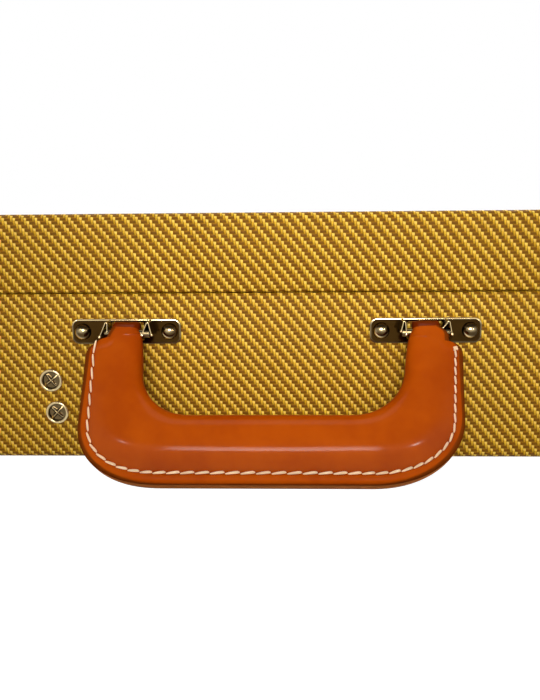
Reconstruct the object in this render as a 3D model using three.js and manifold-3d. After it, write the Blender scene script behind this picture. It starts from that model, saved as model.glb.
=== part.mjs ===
// Rectangular hard case for an electric guitar, closed and lying flat, with its leather handle
// swung out and resting on the ground. Millimetres, X along the case, -Y out of the handle side,
// Z up, origin at the middle of the underside.
import * as THREE from 'three';
import { mergeVertices } from 'three/addons/utils/BufferGeometryUtils.js';
import Module from 'manifold-3d';

const wasm = await Module();
wasm.setup();

// The case shell
const caseLength = 1060;
const caseWidth = 380;
const caseHeight = 118;
const seamHeight = 81;
const seamGap = 0.4;
const cornerRadius = 32;
const edgeRadius = 6;
const clothThickness = 1;
const rimWall = 8;
const panelThickness = 4;
const fitGap = 0.3;
const overrun = 5;

// The lip inside the seam that the lid closes round
const valanceWall = 2.6;
const valanceDrop = 14;
const valanceRise = 7;

// The foam bed and the guitar's pocket in it
const bedHeight = 54;
const bedEdge = 3;
const pocketLength = 400;
const pocketWidth = 326;
const pocketEndWall = 32;
const pocketFloor = 8;
const neckSlotWidth = 72;
const neckSlotFloor = 16;
const headSlotLength = 178;
const headSlotWidth = 124;
const slotEndWall = 16;
const slotCorner = 14;

// The block under the guitar's neck
const neckRestLength = 80;
const neckRestFromHead = 255;
const neckRestHeight = 26;
const neckGrooveRadius = 31;
const neckGrooveDepth = 17;

// The accessory compartment beside the neck
const boxInnerLength = 183;
const boxNeckWall = 9;
const boxHeight = 50;
const boxWall = 5;
const boxEndBoard = 9;
const boxFloor = 4;
const boxLidThickness = 4;
const boxLidCorner = 4;
const tabWidth = 18;
const tabLength = 26;
const tabThickness = 1.6;

// The padded lining of the lid
const lidPadThickness = 15;
const lidPadEdge = 5;
const lidPadInset = 4;

// The two handle brackets
const bracketSpacing = 141;
const bracketHeight = 63;
const bracketLength = 50.8;
const bracketWidth = 12.7;
const bracketCorner = 2;
const bracketThickness = 1.2;
const bracketRivetSpacing = 41.3;
const barOffset = 7.2;
const barRadius = 2;
const barStraight = 18;
const barFoot = 27;

// The dome rivets of the brackets
const rivetHeadRadius = 3.6;
const rivetHeadHeight = 2.6;
const rivetShankRadius = 1.5;

// The two clinched rivets of the accessory compartment's end board
const clinchRadius = 5.35;
const clinchHeight = 2.1;
const clinchWellRadius = 3;
const clinchWellHeight = 0.9;
const clinchShankLength = 21;
const clinchUpperX = -108.4;
const clinchUpperHeight = 39.4;
const clinchLowerX = -105.9;
const clinchLowerHeight = 23.5;
const boxEndX = -102.6;

// The handle, measured from the bars' axis in its own plane
const handleSlide = -1.2;
const strapWidth = 12.6;
const strapInset = 1.3;
const strapStart = 0.3;
const strapFlare = 4.2;
const strapFlareDrop = 7.4;
const eyeLeather = 3.2;
const legFlare = 3.4;
const gripInnerDrop = 40.4;
const innerCornerLength = 23.8;
const innerCornerDepth = 23;
const gripOuterDrop = 71.6;
const outerHalfWidth = 84.5;
const outerCornerLength = 39;
const outerCornerDepth = 29;
const lipShoulderDrop = 8.8;
const lipShoulderRound = 5.8;
const lipShoulderOut = 0.8;
const stitchMargin = 4.4;
const strapHalfThickness = 4.6;
const legHalfThickness = 8.5;
const gripHalfThickness = 12;
const lipHalfThickness = 5.8;
const lipEdgeRound = 1.6;
const coreWidth = 8;
const coreThickness = 1.6;
const coreBend = 17;
const coreDropInGrip = 13;

// The draw latches
const latchInnerX = 215;
const latchFromEnd = 100;
const latchPlateWidth = 30;
const latchPlateLength = 42;
const latchPlateBelowSeam = 5;
const latchPlateThickness = 1.3;
const latchPlateCorner = 3;
const latchPivotDrop = 6;
const latchPivotOut = 6.5;
const latchEarThickness = 1.3;
const latchEarHalf = 4.6;
const latchPinRadius = 1.6;
const linkPinRadius = 1.2;
const linkPinDrop = 7;
const linkPinInset = 1;
const leverFlange = 1.3;
const leverEyeRadius = 3;
const leverThickness = 1.4;
const leverStart = 11.5;
const leverLength = 30;
const leverLipLength = 3;
const leverLipFlare = 1.6;
const linkWidth = 16;
const linkThickness = 1.5;
const linkEyeWall = 1.1;
const linkOverSeam = 12;
const catchPlateWidth = 22;
const catchPlateLength = 20;
const catchAboveSeam = 3.6;
const catchLedgeWidth = 17;
const catchLedgeHeight = 3.5;
const catchLedgeStart = 3.8;
const smallRivetRadius = 2.2;
const smallRivetHeight = 1.3;

// The hinges
const hingeFromEnd = 190;
const hingeLength = 60;
const hingeLeafHeight = 24;
const hingeLeafThickness = 1.4;
const knuckleRadius = 3.1;
const knuckleMiddle = 20;
const hingePinRadius = 1.5;
const hingePinHeadRadius = 2.3;
const hingePinHeadLength = 1;

// The domed feet on the hinge side
const footFromEnd = 130;
const footRadius = 9;
const footHeight = 8;
const bodyFootHeight = 25;
const lidFootBelowTop = 19;

// How finely round shapes are drawn
const cornerSteps = 3;
const edgeSteps = 3;
const roundSides = 12;
const domeSteps = 3;
const smallSides = 8;
const smallDomeSteps = 2;
const barSteps = 28;

// Heights and insets that follow from the sizes above
const bodyTop = seamHeight - seamGap / 2;
const lidBottom = seamHeight + seamGap / 2;
const rimOuter = clothThickness + fitGap;
const rimInner = rimOuter + rimWall;
const liningInset = rimInner + fitGap;
const floorTop = rimOuter + panelThickness;
const bedBottom = floorTop + fitGap;
const bedTop = bedBottom + bedHeight;
const wallY = caseWidth / 2;
const latchOuterX = caseLength / 2 - latchFromEnd;
const hingeSpacing = caseLength / 2 - hingeFromEnd;
const footX = caseLength / 2 - footFromEnd;
const hingeAxisY = wallY + knuckleRadius + fitGap;
const bedHalfLength = caseLength / 2 - liningInset;
const bedHalfWidth = caseWidth / 2 - liningInset;
const eyeRadius = barRadius + fitGap + eyeLeather;
const handleReach = Math.hypot(gripOuterDrop, lipHalfThickness - lipEdgeRound);
const restTilt = Math.acos((bracketHeight - fitGap) / handleReach)
  + Math.atan((lipHalfThickness - lipEdgeRound) / gripOuterDrop);

// Materials

function material(color, roughness, metalness) {
  return new THREE.MeshStandardMaterial({ color, roughness, metalness });
}

const tweed = material(0xab8030, 0.85, 0);
const wood = material(0xb9935a, 0.7, 0);
const plush = material(0x7a2320, 0.95, 0);
const leather = material(0xb04a0c, 0.25, 0);
const nickel = material(0xcfc3a8, 0.2, 1);
const steel = material(0x8c8c8c, 0.4, 1);
const rubber = material(0x1c1a18, 0.7, 0);

// Joining and cutting

function solidOf(geometry) {
  const bare = geometry.clone();
  bare.deleteAttribute('normal');
  bare.deleteAttribute('uv');
  const merged = mergeVertices(bare);
  return new wasm.Manifold(new wasm.Mesh({
    numProp: 3,
    vertProperties: new Float32Array(merged.attributes.position.array),
    triVerts: new Uint32Array(merged.index.array),
  }));
}

function join(first, ...others) {
  return others.reduce((sum, other) => sum.add(other), first);
}

function cut(first, ...tools) {
  return tools.reduce((rest, tool) => rest.subtract(tool), first);
}

function meshOf(name, shape, look) {
  const { vertProperties, triVerts } = shape.getMesh();
  const geometry = new THREE.BufferGeometry();
  geometry.setAttribute('position', new THREE.BufferAttribute(vertProperties, 3));
  geometry.setIndex(new THREE.BufferAttribute(triVerts, 1));
  geometry.computeVertexNormals();
  const mesh = new THREE.Mesh(geometry, look);
  mesh.name = name;
  return mesh;
}

// Basic shapes

function roundedOutline(length, width, radius) {
  const x = length / 2 - radius;
  const y = width / 2 - radius;
  const outline = new THREE.Shape();
  outline.absarc(x, -y, radius, -Math.PI / 2, 0);
  outline.absarc(x, y, radius, 0, Math.PI / 2);
  outline.absarc(-x, y, radius, Math.PI / 2, Math.PI);
  outline.absarc(-x, -y, radius, Math.PI, 1.5 * Math.PI);
  outline.closePath();
  return outline;
}

function prism(outline, low, high, curveSegments = cornerSteps) {
  const geometry = new THREE.ExtrudeGeometry(outline, {
    depth: high - low,
    bevelEnabled: false,
    curveSegments,
  });
  return solidOf(geometry.translate(0, 0, low));
}

function softBlock(outline, low, high, edge) {
  const geometry = new THREE.ExtrudeGeometry(outline, {
    depth: high - low - 2 * edge,
    bevelThickness: edge,
    bevelSize: edge,
    bevelOffset: -edge,
    bevelSegments: edgeSteps,
    curveSegments: cornerSteps,
  });
  return solidOf(geometry.translate(0, 0, low + edge));
}

function box(lowX, lowY, lowZ, highX, highY, highZ) {
  const geometry = new THREE.BoxGeometry(highX - lowX, highY - lowY, highZ - lowZ);
  geometry.translate((lowX + highX) / 2, (lowY + highY) / 2, (lowZ + highZ) / 2);
  return solidOf(geometry);
}

function rodAlongX(radius, lowX, highX, y, z) {
  const geometry = new THREE.CylinderGeometry(radius, radius, highX - lowX, roundSides);
  geometry.rotateZ(Math.PI / 2);
  return solidOf(geometry.translate((lowX + highX) / 2, y, z));
}

// A turned piece whose axis is local Z, from its profile of [radius, height] points.
function turned(profile, sides = roundSides) {
  const points = profile.map(([radius, height]) => new THREE.Vector2(radius, height));
  const geometry = new THREE.LatheGeometry(points, sides);
  return solidOf(geometry.rotateX(Math.PI / 2));
}

// The profile of a domed head from its rim at height 0 up to its crown on the axis.
function domeProfile(radius, height, steps = domeSteps) {
  const points = [];
  for (let step = 0; step <= steps; step += 1) {
    const angle = (step / steps) * (Math.PI / 2);
    points.push([step === steps ? 0 : radius * Math.cos(angle), height * Math.sin(angle)]);
  }
  return points;
}

function smallRivet(x, y, out) {
  const sunk = -latchPlateThickness / 2;
  const dome = domeProfile(smallRivetRadius, smallRivetHeight, smallDomeSteps);
  return turned([[0, sunk], [smallRivetRadius, sunk], ...dome], smallSides).translate([x, y, out]);
}

// The case shell

function shellOutline(inset) {
  return roundedOutline(caseLength - 2 * inset, caseWidth - 2 * inset, cornerRadius - inset);
}

function shellBlock(inset) {
  return softBlock(shellOutline(inset), inset, caseHeight - inset, edgeRadius - inset);
}

function shellPrism(inset, low, high) {
  return prism(shellOutline(inset), low, high);
}

function layer(low, high) {
  const reach = caseLength / 2 + overrun;
  return box(-reach, -reach, low, reach, reach, high);
}

function rivetHole(x, height, radius, depth) {
  const geometry = new THREE.CylinderGeometry(radius, radius, depth + overrun, roundSides);
  return solidOf(geometry.translate(x, (depth - overrun) / 2 - wallY, height));
}

// The places on the handle side where a shank goes through the wall.
const bracketRivetPlaces = [-1, 1].flatMap((side) => [-1, 1].map((end) => [
  (side * bracketSpacing + end * bracketRivetSpacing) / 2,
  bracketHeight,
]));
const clinchPlaces = [[clinchUpperX, clinchUpperHeight], [clinchLowerX, clinchLowerHeight]];

function wallHoles() {
  const radius = rivetShankRadius + fitGap;
  return [...bracketRivetPlaces, ...clinchPlaces]
    .map(([x, height]) => rivetHole(x, height, radius, clinchShankLength + fitGap));
}

function bodyBottomCloth() {
  const dish = shellBlock(0).intersect(layer(-overrun, edgeRadius));
  return meshOf('body_bottom_cloth', cut(dish, shellBlock(clothThickness)), tweed);
}

function bodySideCloth() {
  const wall = shellBlock(0).intersect(layer(edgeRadius, bodyTop));
  const shape = cut(
    wall,
    shellPrism(clothThickness, -overrun, bodyTop - clothThickness),
    shellPrism(rimInner, -overrun, caseHeight),
    ...wallHoles(),
  );
  return meshOf('body_side_cloth', shape, tweed);
}

function bodyRim() {
  const frame = shellBlock(rimOuter).intersect(layer(-overrun, bodyTop - rimOuter));
  return meshOf('body_rim', cut(frame, shellPrism(rimInner, -overrun, caseHeight), ...wallHoles()), wood);
}

function bodyPanel() {
  return meshOf('body_panel', shellPrism(liningInset, rimOuter, floorTop), wood);
}

function bodyValance() {
  const low = bodyTop - valanceDrop;
  const high = bodyTop + valanceRise;
  const hollow = shellPrism(liningInset + valanceWall, low - overrun, high + overrun);
  return meshOf('body_valance', cut(shellPrism(liningInset, low, high), hollow), wood);
}

function lidTopCloth() {
  const dish = shellBlock(0).intersect(layer(caseHeight - edgeRadius, caseHeight + overrun));
  return meshOf('lid_top_cloth', cut(dish, shellBlock(clothThickness)), tweed);
}

function lidSideCloth() {
  const wall = shellBlock(0).intersect(layer(lidBottom, caseHeight - edgeRadius));
  const shape = cut(
    wall,
    shellPrism(clothThickness, lidBottom + clothThickness, caseHeight),
    shellPrism(rimInner, -overrun, caseHeight),
  );
  return meshOf('lid_side_cloth', shape, tweed);
}

function lidRim() {
  const frame = shellBlock(rimOuter).intersect(layer(lidBottom + rimOuter, caseHeight));
  return meshOf('lid_rim', cut(frame, shellPrism(rimInner, -overrun, caseHeight + overrun)), wood);
}

function lidPanel() {
  const top = caseHeight - rimOuter;
  return meshOf('lid_panel', shellPrism(liningInset, top - panelThickness, top), wood);
}

function lidPad() {
  const high = caseHeight - rimOuter - panelThickness - fitGap;
  const outline = shellOutline(liningInset + lidPadInset);
  return meshOf('lid_pad', softBlock(outline, high - lidPadThickness, high, lidPadEdge), plush);
}

// The inside of the body

// Half of a two-horned guitar body: shares of its length from the tail, and of its width.
const pocketShares = [
  [0.005, 0.12], [0.03, 0.28], [0.1, 0.42], [0.2, 0.49], [0.32, 0.48],
  [0.46, 0.4], [0.58, 0.375], [0.7, 0.42], [0.82, 0.465], [0.93, 0.41], [0.985, 0.28], [1, 0.12],
];

function guitarPocket() {
  const tail = bedHalfLength - pocketEndWall;
  const half = pocketShares.map(([along, across]) => new THREE.Vector2(
    tail - along * pocketLength,
    across * pocketWidth,
  ));
  const other = half.map((point) => new THREE.Vector2(point.x, -point.y)).reverse();
  const outline = new THREE.Shape();
  outline.moveTo(half[0].x, half[0].y);
  outline.splineThru(half.slice(1));
  outline.lineTo(other[0].x, other[0].y);
  outline.splineThru(other.slice(1));
  outline.closePath();
  return prism(outline, bedBottom + pocketFloor, bedTop + overrun, 1);
}

function slot(lowX, highX, width, floor) {
  const outline = roundedOutline(highX - lowX, width, slotCorner);
  return prism(outline, bedBottom + floor, bedTop + overrun).translate([(lowX + highX) / 2, 0, 0]);
}

const headEnd = slotEndWall - bedHalfLength;
const neckEnd = bedHalfLength - pocketEndWall - pocketLength / 2;
const boxLength = boxWall + boxInnerLength + boxEndBoard;
const boxStartX = boxEndX - boxLength;
const boxFrontY = -bedHalfWidth + fitGap;
const boxBackY = -neckSlotWidth / 2 - boxNeckWall;
const boxWidth = boxBackY - boxFrontY;

function bedPad() {
  const block = softBlock(shellOutline(liningInset), bedBottom, bedTop, bedEdge);
  const boxSpace = box(
    boxStartX - fitGap, -wallY, bedBottom - overrun,
    boxEndX + fitGap, boxBackY + fitGap, bedTop + overrun,
  );
  const shape = cut(
    block,
    guitarPocket(),
    slot(headEnd, neckEnd, neckSlotWidth, neckSlotFloor),
    slot(headEnd, headEnd + headSlotLength, headSlotWidth, neckSlotFloor),
    boxSpace,
  );
  return meshOf('bed_pad', shape, plush);
}

function neckRest() {
  const half = neckSlotWidth / 2 - fitGap;
  const grooveHalf = Math.sqrt(neckGrooveRadius ** 2 - (neckGrooveRadius - neckGrooveDepth) ** 2);
  const angle = Math.asin(grooveHalf / neckGrooveRadius);
  const outline = new THREE.Shape();
  outline.moveTo(-half, 0);
  outline.lineTo(half, 0);
  outline.lineTo(half, neckRestHeight);
  outline.lineTo(grooveHalf, neckRestHeight);
  outline.absarc(
    0, neckRestHeight + neckGrooveRadius - neckGrooveDepth, neckGrooveRadius,
    -Math.PI / 2 + angle, -Math.PI / 2 - angle, true,
  );
  outline.lineTo(-half, neckRestHeight);
  outline.closePath();
  const geometry = new THREE.ExtrudeGeometry(outline, {
    depth: neckRestLength,
    bevelEnabled: false,
    curveSegments: cornerSteps + 1,
  });
  geometry.rotateX(Math.PI / 2).rotateZ(Math.PI / 2);
  const mesh = meshOf('neck_rest', solidOf(geometry), plush);
  mesh.position.set(headEnd + neckRestFromHead, 0, bedBottom + neckSlotFloor + fitGap);
  return mesh;
}

function accessoryBox() {
  const top = bedBottom + boxHeight;
  const outer = box(boxStartX, boxFrontY, bedBottom, boxEndX, boxBackY, top);
  const hollow = box(
    boxStartX + boxWall, boxFrontY + boxWall, bedBottom + boxFloor,
    boxEndX - boxEndBoard, boxBackY - boxWall, top + overrun,
  );
  return meshOf('accessory_box', cut(outer, hollow, ...wallHoles()), plush);
}

function boxLid() {
  const outline = roundedOutline(boxLength, boxWidth, boxLidCorner);
  const mesh = meshOf('box_lid', prism(outline, 0, boxLidThickness), plush);
  mesh.position.set(
    (boxStartX + boxEndX) / 2, (boxFrontY + boxBackY) / 2,
    bedBottom + boxHeight + fitGap,
  );
  return mesh;
}

function boxLidTab() {
  const outline = roundedOutline(tabWidth, tabLength, boxLidCorner);
  const mesh = meshOf('box_lid_tab', prism(outline, 0, tabThickness), leather);
  mesh.position.set(
    (boxStartX + boxEndX) / 2, boxFrontY + tabLength / 2,
    bedBottom + boxHeight + boxLidThickness + 2 * fitGap,
  );
  return mesh;
}

// The handle's brackets and rivets, in the wall's frame: X along, Y up, Z out of the wall

function bridgeBar() {
  const foot = bracketThickness / 2;
  const rise = barOffset - barRadius;
  const path = new THREE.CurvePath();
  const half = barStraight / 2;
  const spread = barFoot / 2;
  path.add(new THREE.LineCurve3(
    new THREE.Vector3(-spread, 0, foot),
    new THREE.Vector3(-spread, 0, rise),
  ));
  path.add(new THREE.QuadraticBezierCurve3(
    new THREE.Vector3(-spread, 0, rise),
    new THREE.Vector3(-spread, 0, barOffset),
    new THREE.Vector3(-half, 0, barOffset),
  ));
  path.add(new THREE.LineCurve3(
    new THREE.Vector3(-half, 0, barOffset),
    new THREE.Vector3(half, 0, barOffset),
  ));
  path.add(new THREE.QuadraticBezierCurve3(
    new THREE.Vector3(half, 0, barOffset),
    new THREE.Vector3(spread, 0, barOffset),
    new THREE.Vector3(spread, 0, rise),
  ));
  path.add(new THREE.LineCurve3(
    new THREE.Vector3(spread, 0, rise),
    new THREE.Vector3(spread, 0, foot),
  ));
  const section = new THREE.Shape();
  section.absarc(0, 0, barRadius, 0, 2 * Math.PI);
  const geometry = new THREE.ExtrudeGeometry(section, {
    steps: barSteps,
    curveSegments: smallSides / 2,
    extrudePath: path,
  });
  return solidOf(geometry);
}

function bracket(name, side) {
  const outline = roundedOutline(bracketLength, bracketWidth, bracketCorner);
  for (const end of [-1, 1]) {
    const hole = new THREE.Path();
    hole.absarc(end * bracketRivetSpacing / 2, 0, rivetShankRadius + fitGap, 0, 2 * Math.PI);
    outline.holes.push(hole);
  }
  const mesh = meshOf(name, join(prism(outline, 0, bracketThickness), bridgeBar()), nickel);
  mesh.position.set(side * bracketSpacing / 2, bracketHeight, 0);
  return mesh;
}

function domeRivet(name, [x, height]) {
  const shank = bracketThickness + rimInner;
  const profile = [
    [0, -shank], [rivetShankRadius, -shank], [rivetShankRadius, 0],
    ...domeProfile(rivetHeadRadius, rivetHeadHeight),
  ];
  const mesh = meshOf(name, turned(profile), nickel);
  mesh.position.set(x, height, bracketThickness);
  return mesh;
}

function clinchRivet(name, [x, height]) {
  const ringMiddle = (clinchRadius + clinchWellRadius) / 2;
  const profile = [
    [0, -clinchShankLength], [rivetShankRadius, -clinchShankLength], [rivetShankRadius, 0],
    [clinchRadius, 0], [clinchRadius, clinchWellHeight], [ringMiddle, clinchHeight],
    [clinchWellRadius, clinchWellHeight], [0, clinchWellHeight],
  ];
  const mesh = meshOf(name, turned(profile), nickel);
  mesh.position.set(x, height, 0);
  return mesh;
}

// The handle, in its own frame: X along the case, Z up from the bars' axis, -Y its front

// One station across the leather: its inner and outer ends in the plane, as [x, drop],
// the half thickness of its swell and of its stitched lip, and how far the lip stands out.
function station(inner, outer, swell, lip, lipWidth) {
  return { inner, outer, swell, lip, lipWidth };
}

// Where the leg has a station: shares of its shoulder's rounding, and of its whole drop.
const shoulderShares = [0, 0.15, 0.5, 1];
const legShares = [0.36, 0.55, 0.78];
const strapShares = [0, 0.4, 0.75];
const gripShares = [0.66, 0.33, 0];
const shoulderThinShare = 0.1;

const strapMiddle = bracketSpacing / 2 - strapInset;
const legEndDrop = gripOuterDrop - outerCornerDepth;

function legOuterEdge(drop) {
  const flared = Math.min(1, (drop + strapStart) / (strapFlareDrop + strapStart));
  const strapEdge = strapMiddle + strapWidth / 2 + strapFlare * (1 - (1 - flared) ** 2);
  const rounded = Math.min(1, Math.max(0, (drop - lipShoulderDrop) / lipShoulderRound));
  const lipShare = Math.sqrt(1 - (1 - rounded) ** 2);
  const lipEdge = outerHalfWidth + lipShoulderOut * (1 - drop / legEndDrop);
  return { x: strapEdge + (lipEdge - strapEdge) * lipShare, lipShare };
}

function legStations() {
  const innerEnd = strapMiddle - strapWidth / 2 - legFlare;
  const innerEndDrop = gripInnerDrop - innerCornerDepth;
  const drops = [
    -strapStart,
    ...strapShares.map((share) => share * strapFlareDrop),
    ...shoulderShares.map((share) => lipShoulderDrop + share * lipShoulderRound),
    ...legShares.map((share) => share * legEndDrop),
  ];
  const stations = drops.map((drop) => {
    const share = Math.max(0, drop / legEndDrop);
    const edge = legOuterEdge(drop);
    return station(
      [innerEnd + legFlare * (1 - Math.sqrt(share)), drop * innerEndDrop / legEndDrop],
      [edge.x, drop],
      strapHalfThickness + (legHalfThickness - strapHalfThickness) * share ** 1.5,
      strapHalfThickness * (1 - shoulderThinShare * edge.lipShare)
        + (lipHalfThickness - strapHalfThickness) * share,
      lipEdgeRound + stitchMargin * edge.lipShare,
    );
  });
  return { stations, innerEnd, innerEndDrop };
}

function cornerStations(from) {
  const stations = [];
  const cornerX = from.innerEnd - innerCornerLength;
  const outerX = outerHalfWidth - outerCornerLength;
  const count = 3 * cornerSteps;
  for (let step = 0; step <= count; step += 1) {
    const share = step / count;
    const across = Math.cos(share * Math.PI / 2);
    const down = Math.sin(share * Math.PI / 2);
    stations.push(station(
      [cornerX + innerCornerLength * across, from.innerEndDrop + innerCornerDepth * down],
      [outerX + outerCornerLength * across, legEndDrop + outerCornerDepth * down],
      legHalfThickness + (gripHalfThickness - legHalfThickness) * share,
      lipHalfThickness,
      stitchMargin + lipEdgeRound,
    ));
  }
  return stations;
}

function gripStations(last) {
  return gripShares.map((share) => station(
    [share * last.inner[0], gripInnerDrop],
    [share * last.outer[0], gripOuterDrop],
    gripHalfThickness,
    lipHalfThickness,
    stitchMargin + lipEdgeRound,
  ));
}

function mirrored(one) {
  return { ...one, inner: [-one.inner[0], one.inner[1]], outer: [-one.outer[0], one.outer[1]] };
}

// The swell of the leather between its fold and its stitches: shares of the width and thickness.
const swellShares = [
  [0.02, 0.3], [0.08, 0.56], [0.19, 0.8], [0.34, 0.95], [0.52, 1], [0.7, 0.93], [0.87, 0.78],
];

function sectionRing(one) {
  const across = [one.outer[0] - one.inner[0], one.outer[1] - one.inner[1]];
  const width = Math.hypot(...across);
  const point = (distance, thickness) => [
    one.inner[0] + across[0] * distance / width,
    -thickness,
    -(one.inner[1] + across[1] * distance / width),
  ];
  const swellWidth = width - one.lipWidth;
  const front = swellShares.map(([along, thick]) => [
    along * swellWidth,
    Math.max(thick * one.swell, along * one.lip),
  ]);
  front.push([swellWidth, one.lip], [width - lipEdgeRound, one.lip], [width, one.lip - lipEdgeRound]);
  const back = front.map(([distance, thickness]) => [distance, -thickness]).reverse();
  return [[0, 0], ...front, ...back].map(([distance, thickness]) => point(distance, thickness));
}

// A closed skin through rings of the same number of points.
function loft(rings) {
  const count = rings[0].length;
  const positions = rings.flat(2);
  const index = [];
  for (let ring = 0; ring + 1 < rings.length; ring += 1) {
    for (let side = 0; side < count; side += 1) {
      const here = ring * count + side;
      const next = ring * count + (side + 1) % count;
      index.push(here, here + count, next, next, here + count, next + count);
    }
  }
  const lastRing = (rings.length - 1) * count;
  for (let side = 1; side + 1 < count; side += 1) {
    index.push(0, side, side + 1, lastRing, lastRing + side + 1, lastRing + side);
  }
  const geometry = new THREE.BufferGeometry();
  geometry.setAttribute('position', new THREE.Float32BufferAttribute(positions, 3));
  geometry.setIndex(index);
  return solidOf(geometry);
}

// A flat band along the handle's middle line, for the steel core and the slot that holds it.
function coreBand(grow, topDrop) {
  const half = coreWidth / 2 + grow;
  const legX = strapMiddle;
  const drop = gripInnerDrop + coreDropInGrip;
  const outerX = legX + half;
  const innerX = legX - half;
  const outline = new THREE.Shape();
  outline.moveTo(outerX, -topDrop);
  outline.absarc(legX - coreBend, -drop + coreBend, coreBend + half, 0, -Math.PI / 2, true);
  outline.absarc(-legX + coreBend, -drop + coreBend, coreBend + half, -Math.PI / 2, -Math.PI, true);
  outline.lineTo(-outerX, -topDrop);
  outline.lineTo(-innerX, -topDrop);
  outline.absarc(-legX + coreBend, -drop + coreBend, coreBend - half, -Math.PI, -Math.PI / 2, false);
  outline.absarc(legX - coreBend, -drop + coreBend, coreBend - half, -Math.PI / 2, 0, false);
  outline.lineTo(innerX, -topDrop);
  outline.closePath();
  const geometry = new THREE.ExtrudeGeometry(outline, {
    depth: coreThickness + 2 * grow,
    bevelEnabled: false,
    curveSegments: cornerSteps + 1,
  });
  geometry.rotateX(Math.PI / 2);
  return solidOf(geometry.translate(0, coreThickness / 2 + grow, 0));
}

function handleLeather() {
  const leg = legStations();
  const corner = cornerStations(leg);
  const right = [...leg.stations, ...corner, ...gripStations(corner[corner.length - 1])];
  const left = right.slice(0, -1).map(mirrored).reverse();
  const grip = loft([...right, ...left].map(sectionRing));
  const eyes = [-1, 1].map((side) => {
    const middle = side * strapMiddle;
    return rodAlongX(eyeRadius, middle - strapWidth / 2, middle + strapWidth / 2, 0, 0);
  });
  const reach = outerHalfWidth + overrun;
  const bore = rodAlongX(barRadius + fitGap, -reach, reach, 0, 0);
  return meshOf('handle_leather', cut(join(grip, ...eyes), bore, coreBand(fitGap, 0)), leather);
}

function handleCore() {
  return meshOf('handle_core', coreBand(0, barRadius + 3 * fitGap), steel);
}

// The draw latches, in the wall's frame

const latchPivotHeight = seamHeight - latchPlateBelowSeam - latchPivotDrop;
const leverOutside = latchPlateWidth / 2 - latchEarThickness - 2 * fitGap;
const leverInside = leverOutside - leverFlange;

function latchBase(name) {
  const top = seamHeight - latchPlateBelowSeam;
  const middle = top - latchPlateLength / 2;
  const outline = roundedOutline(latchPlateWidth, latchPlateLength, latchPlateCorner);
  const plate = prism(outline, 0, latchPlateThickness).translate([0, middle, 0]);
  const parts = [];
  for (const side of [-1, 1]) {
    const outer = side * latchPlateWidth / 2;
    const inner = outer - side * latchEarThickness;
    parts.push(box(
      Math.min(inner, outer), latchPivotHeight - latchEarHalf, latchPlateThickness / 2,
      Math.max(inner, outer), latchPivotHeight + latchEarHalf,
      latchPivotOut + latchPinRadius + fitGap,
    ));
    const pinEnd = side * (leverInside - fitGap);
    parts.push(rodAlongX(
      latchPinRadius, Math.min(pinEnd, inner + side * latchEarThickness / 2),
      Math.max(pinEnd, inner + side * latchEarThickness / 2), latchPivotHeight, latchPivotOut,
    ));
    const rivetX = side * (linkWidth - smallRivetRadius) / 2;
    parts.push(smallRivet(rivetX, top - smallRivetRadius - fitGap, latchPlateThickness));
    parts.push(smallRivet(
      rivetX, top - latchPlateLength + smallRivetRadius + fitGap, latchPlateThickness,
    ));
  }
  return meshOf(name, join(plate, ...parts), nickel);
}

// Points [out, up] from the lever's pivot, pushed into a plate that stands across X.
function plateAcrossX(points, lowX, highX) {
  const outline = new THREE.Shape(points.map(([out, up]) => new THREE.Vector2(out, up)));
  const geometry = new THREE.ExtrudeGeometry(outline, { depth: highX - lowX, bevelEnabled: false });
  geometry.rotateY(-Math.PI / 2);
  return solidOf(geometry.translate(highX, latchPivotHeight, latchPivotOut));
}

function leverSide() {
  const points = [];
  for (let step = 0; step <= 2 * domeSteps; step += 1) {
    const angle = (step / (2 * domeSteps)) * Math.PI;
    points.push([leverEyeRadius * Math.cos(angle), leverEyeRadius * Math.sin(angle)]);
  }
  const pinSide = linkPinInset + linkPinRadius + 2 * fitGap + linkEyeWall / 2;
  const outside = leverEyeRadius + leverThickness;
  points.push(
    [-pinSide, -linkPinDrop],
    [-pinSide + fitGap, -linkPinDrop - leverEyeRadius],
    [0, -linkPinDrop - 3 * leverEyeRadius],
    [leverEyeRadius, -leverLength + leverEyeRadius],
    [outside, -leverLength + leverEyeRadius],
    [outside, -leverStart],
  );
  return points;
}

function latchLever(name) {
  const outside = leverEyeRadius + leverThickness;
  const plate = plateAcrossX([
    [leverEyeRadius, -leverStart],
    [leverEyeRadius, -leverLength],
    [leverEyeRadius + leverLipFlare, -leverLength - leverLipLength],
    [outside + leverLipFlare, -leverLength - leverLipLength],
    [outside, -leverLength],
    [outside, -leverStart],
  ], -leverOutside, leverOutside);
  const sides = [-1, 1].map((side) => plateAcrossX(
    leverSide(),
    Math.min(side * leverInside, side * leverOutside),
    Math.max(side * leverInside, side * leverOutside),
  ));
  const pivotHole = rodAlongX(
    latchPinRadius + fitGap, -latchPlateWidth, latchPlateWidth, latchPivotHeight, latchPivotOut,
  );
  const pinHole = rodAlongX(
    linkPinRadius + fitGap, -latchPlateWidth, latchPlateWidth,
    latchPivotHeight - linkPinDrop, latchPivotOut - linkPinInset,
  );
  return meshOf(name, cut(join(plate, ...sides), pivotHole, pinHole), nickel);
}

function linkPin(name) {
  const shape = rodAlongX(
    linkPinRadius, -leverOutside, leverOutside,
    latchPivotHeight - linkPinDrop, latchPivotOut - linkPinInset,
  );
  return meshOf(name, shape, steel);
}

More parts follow.
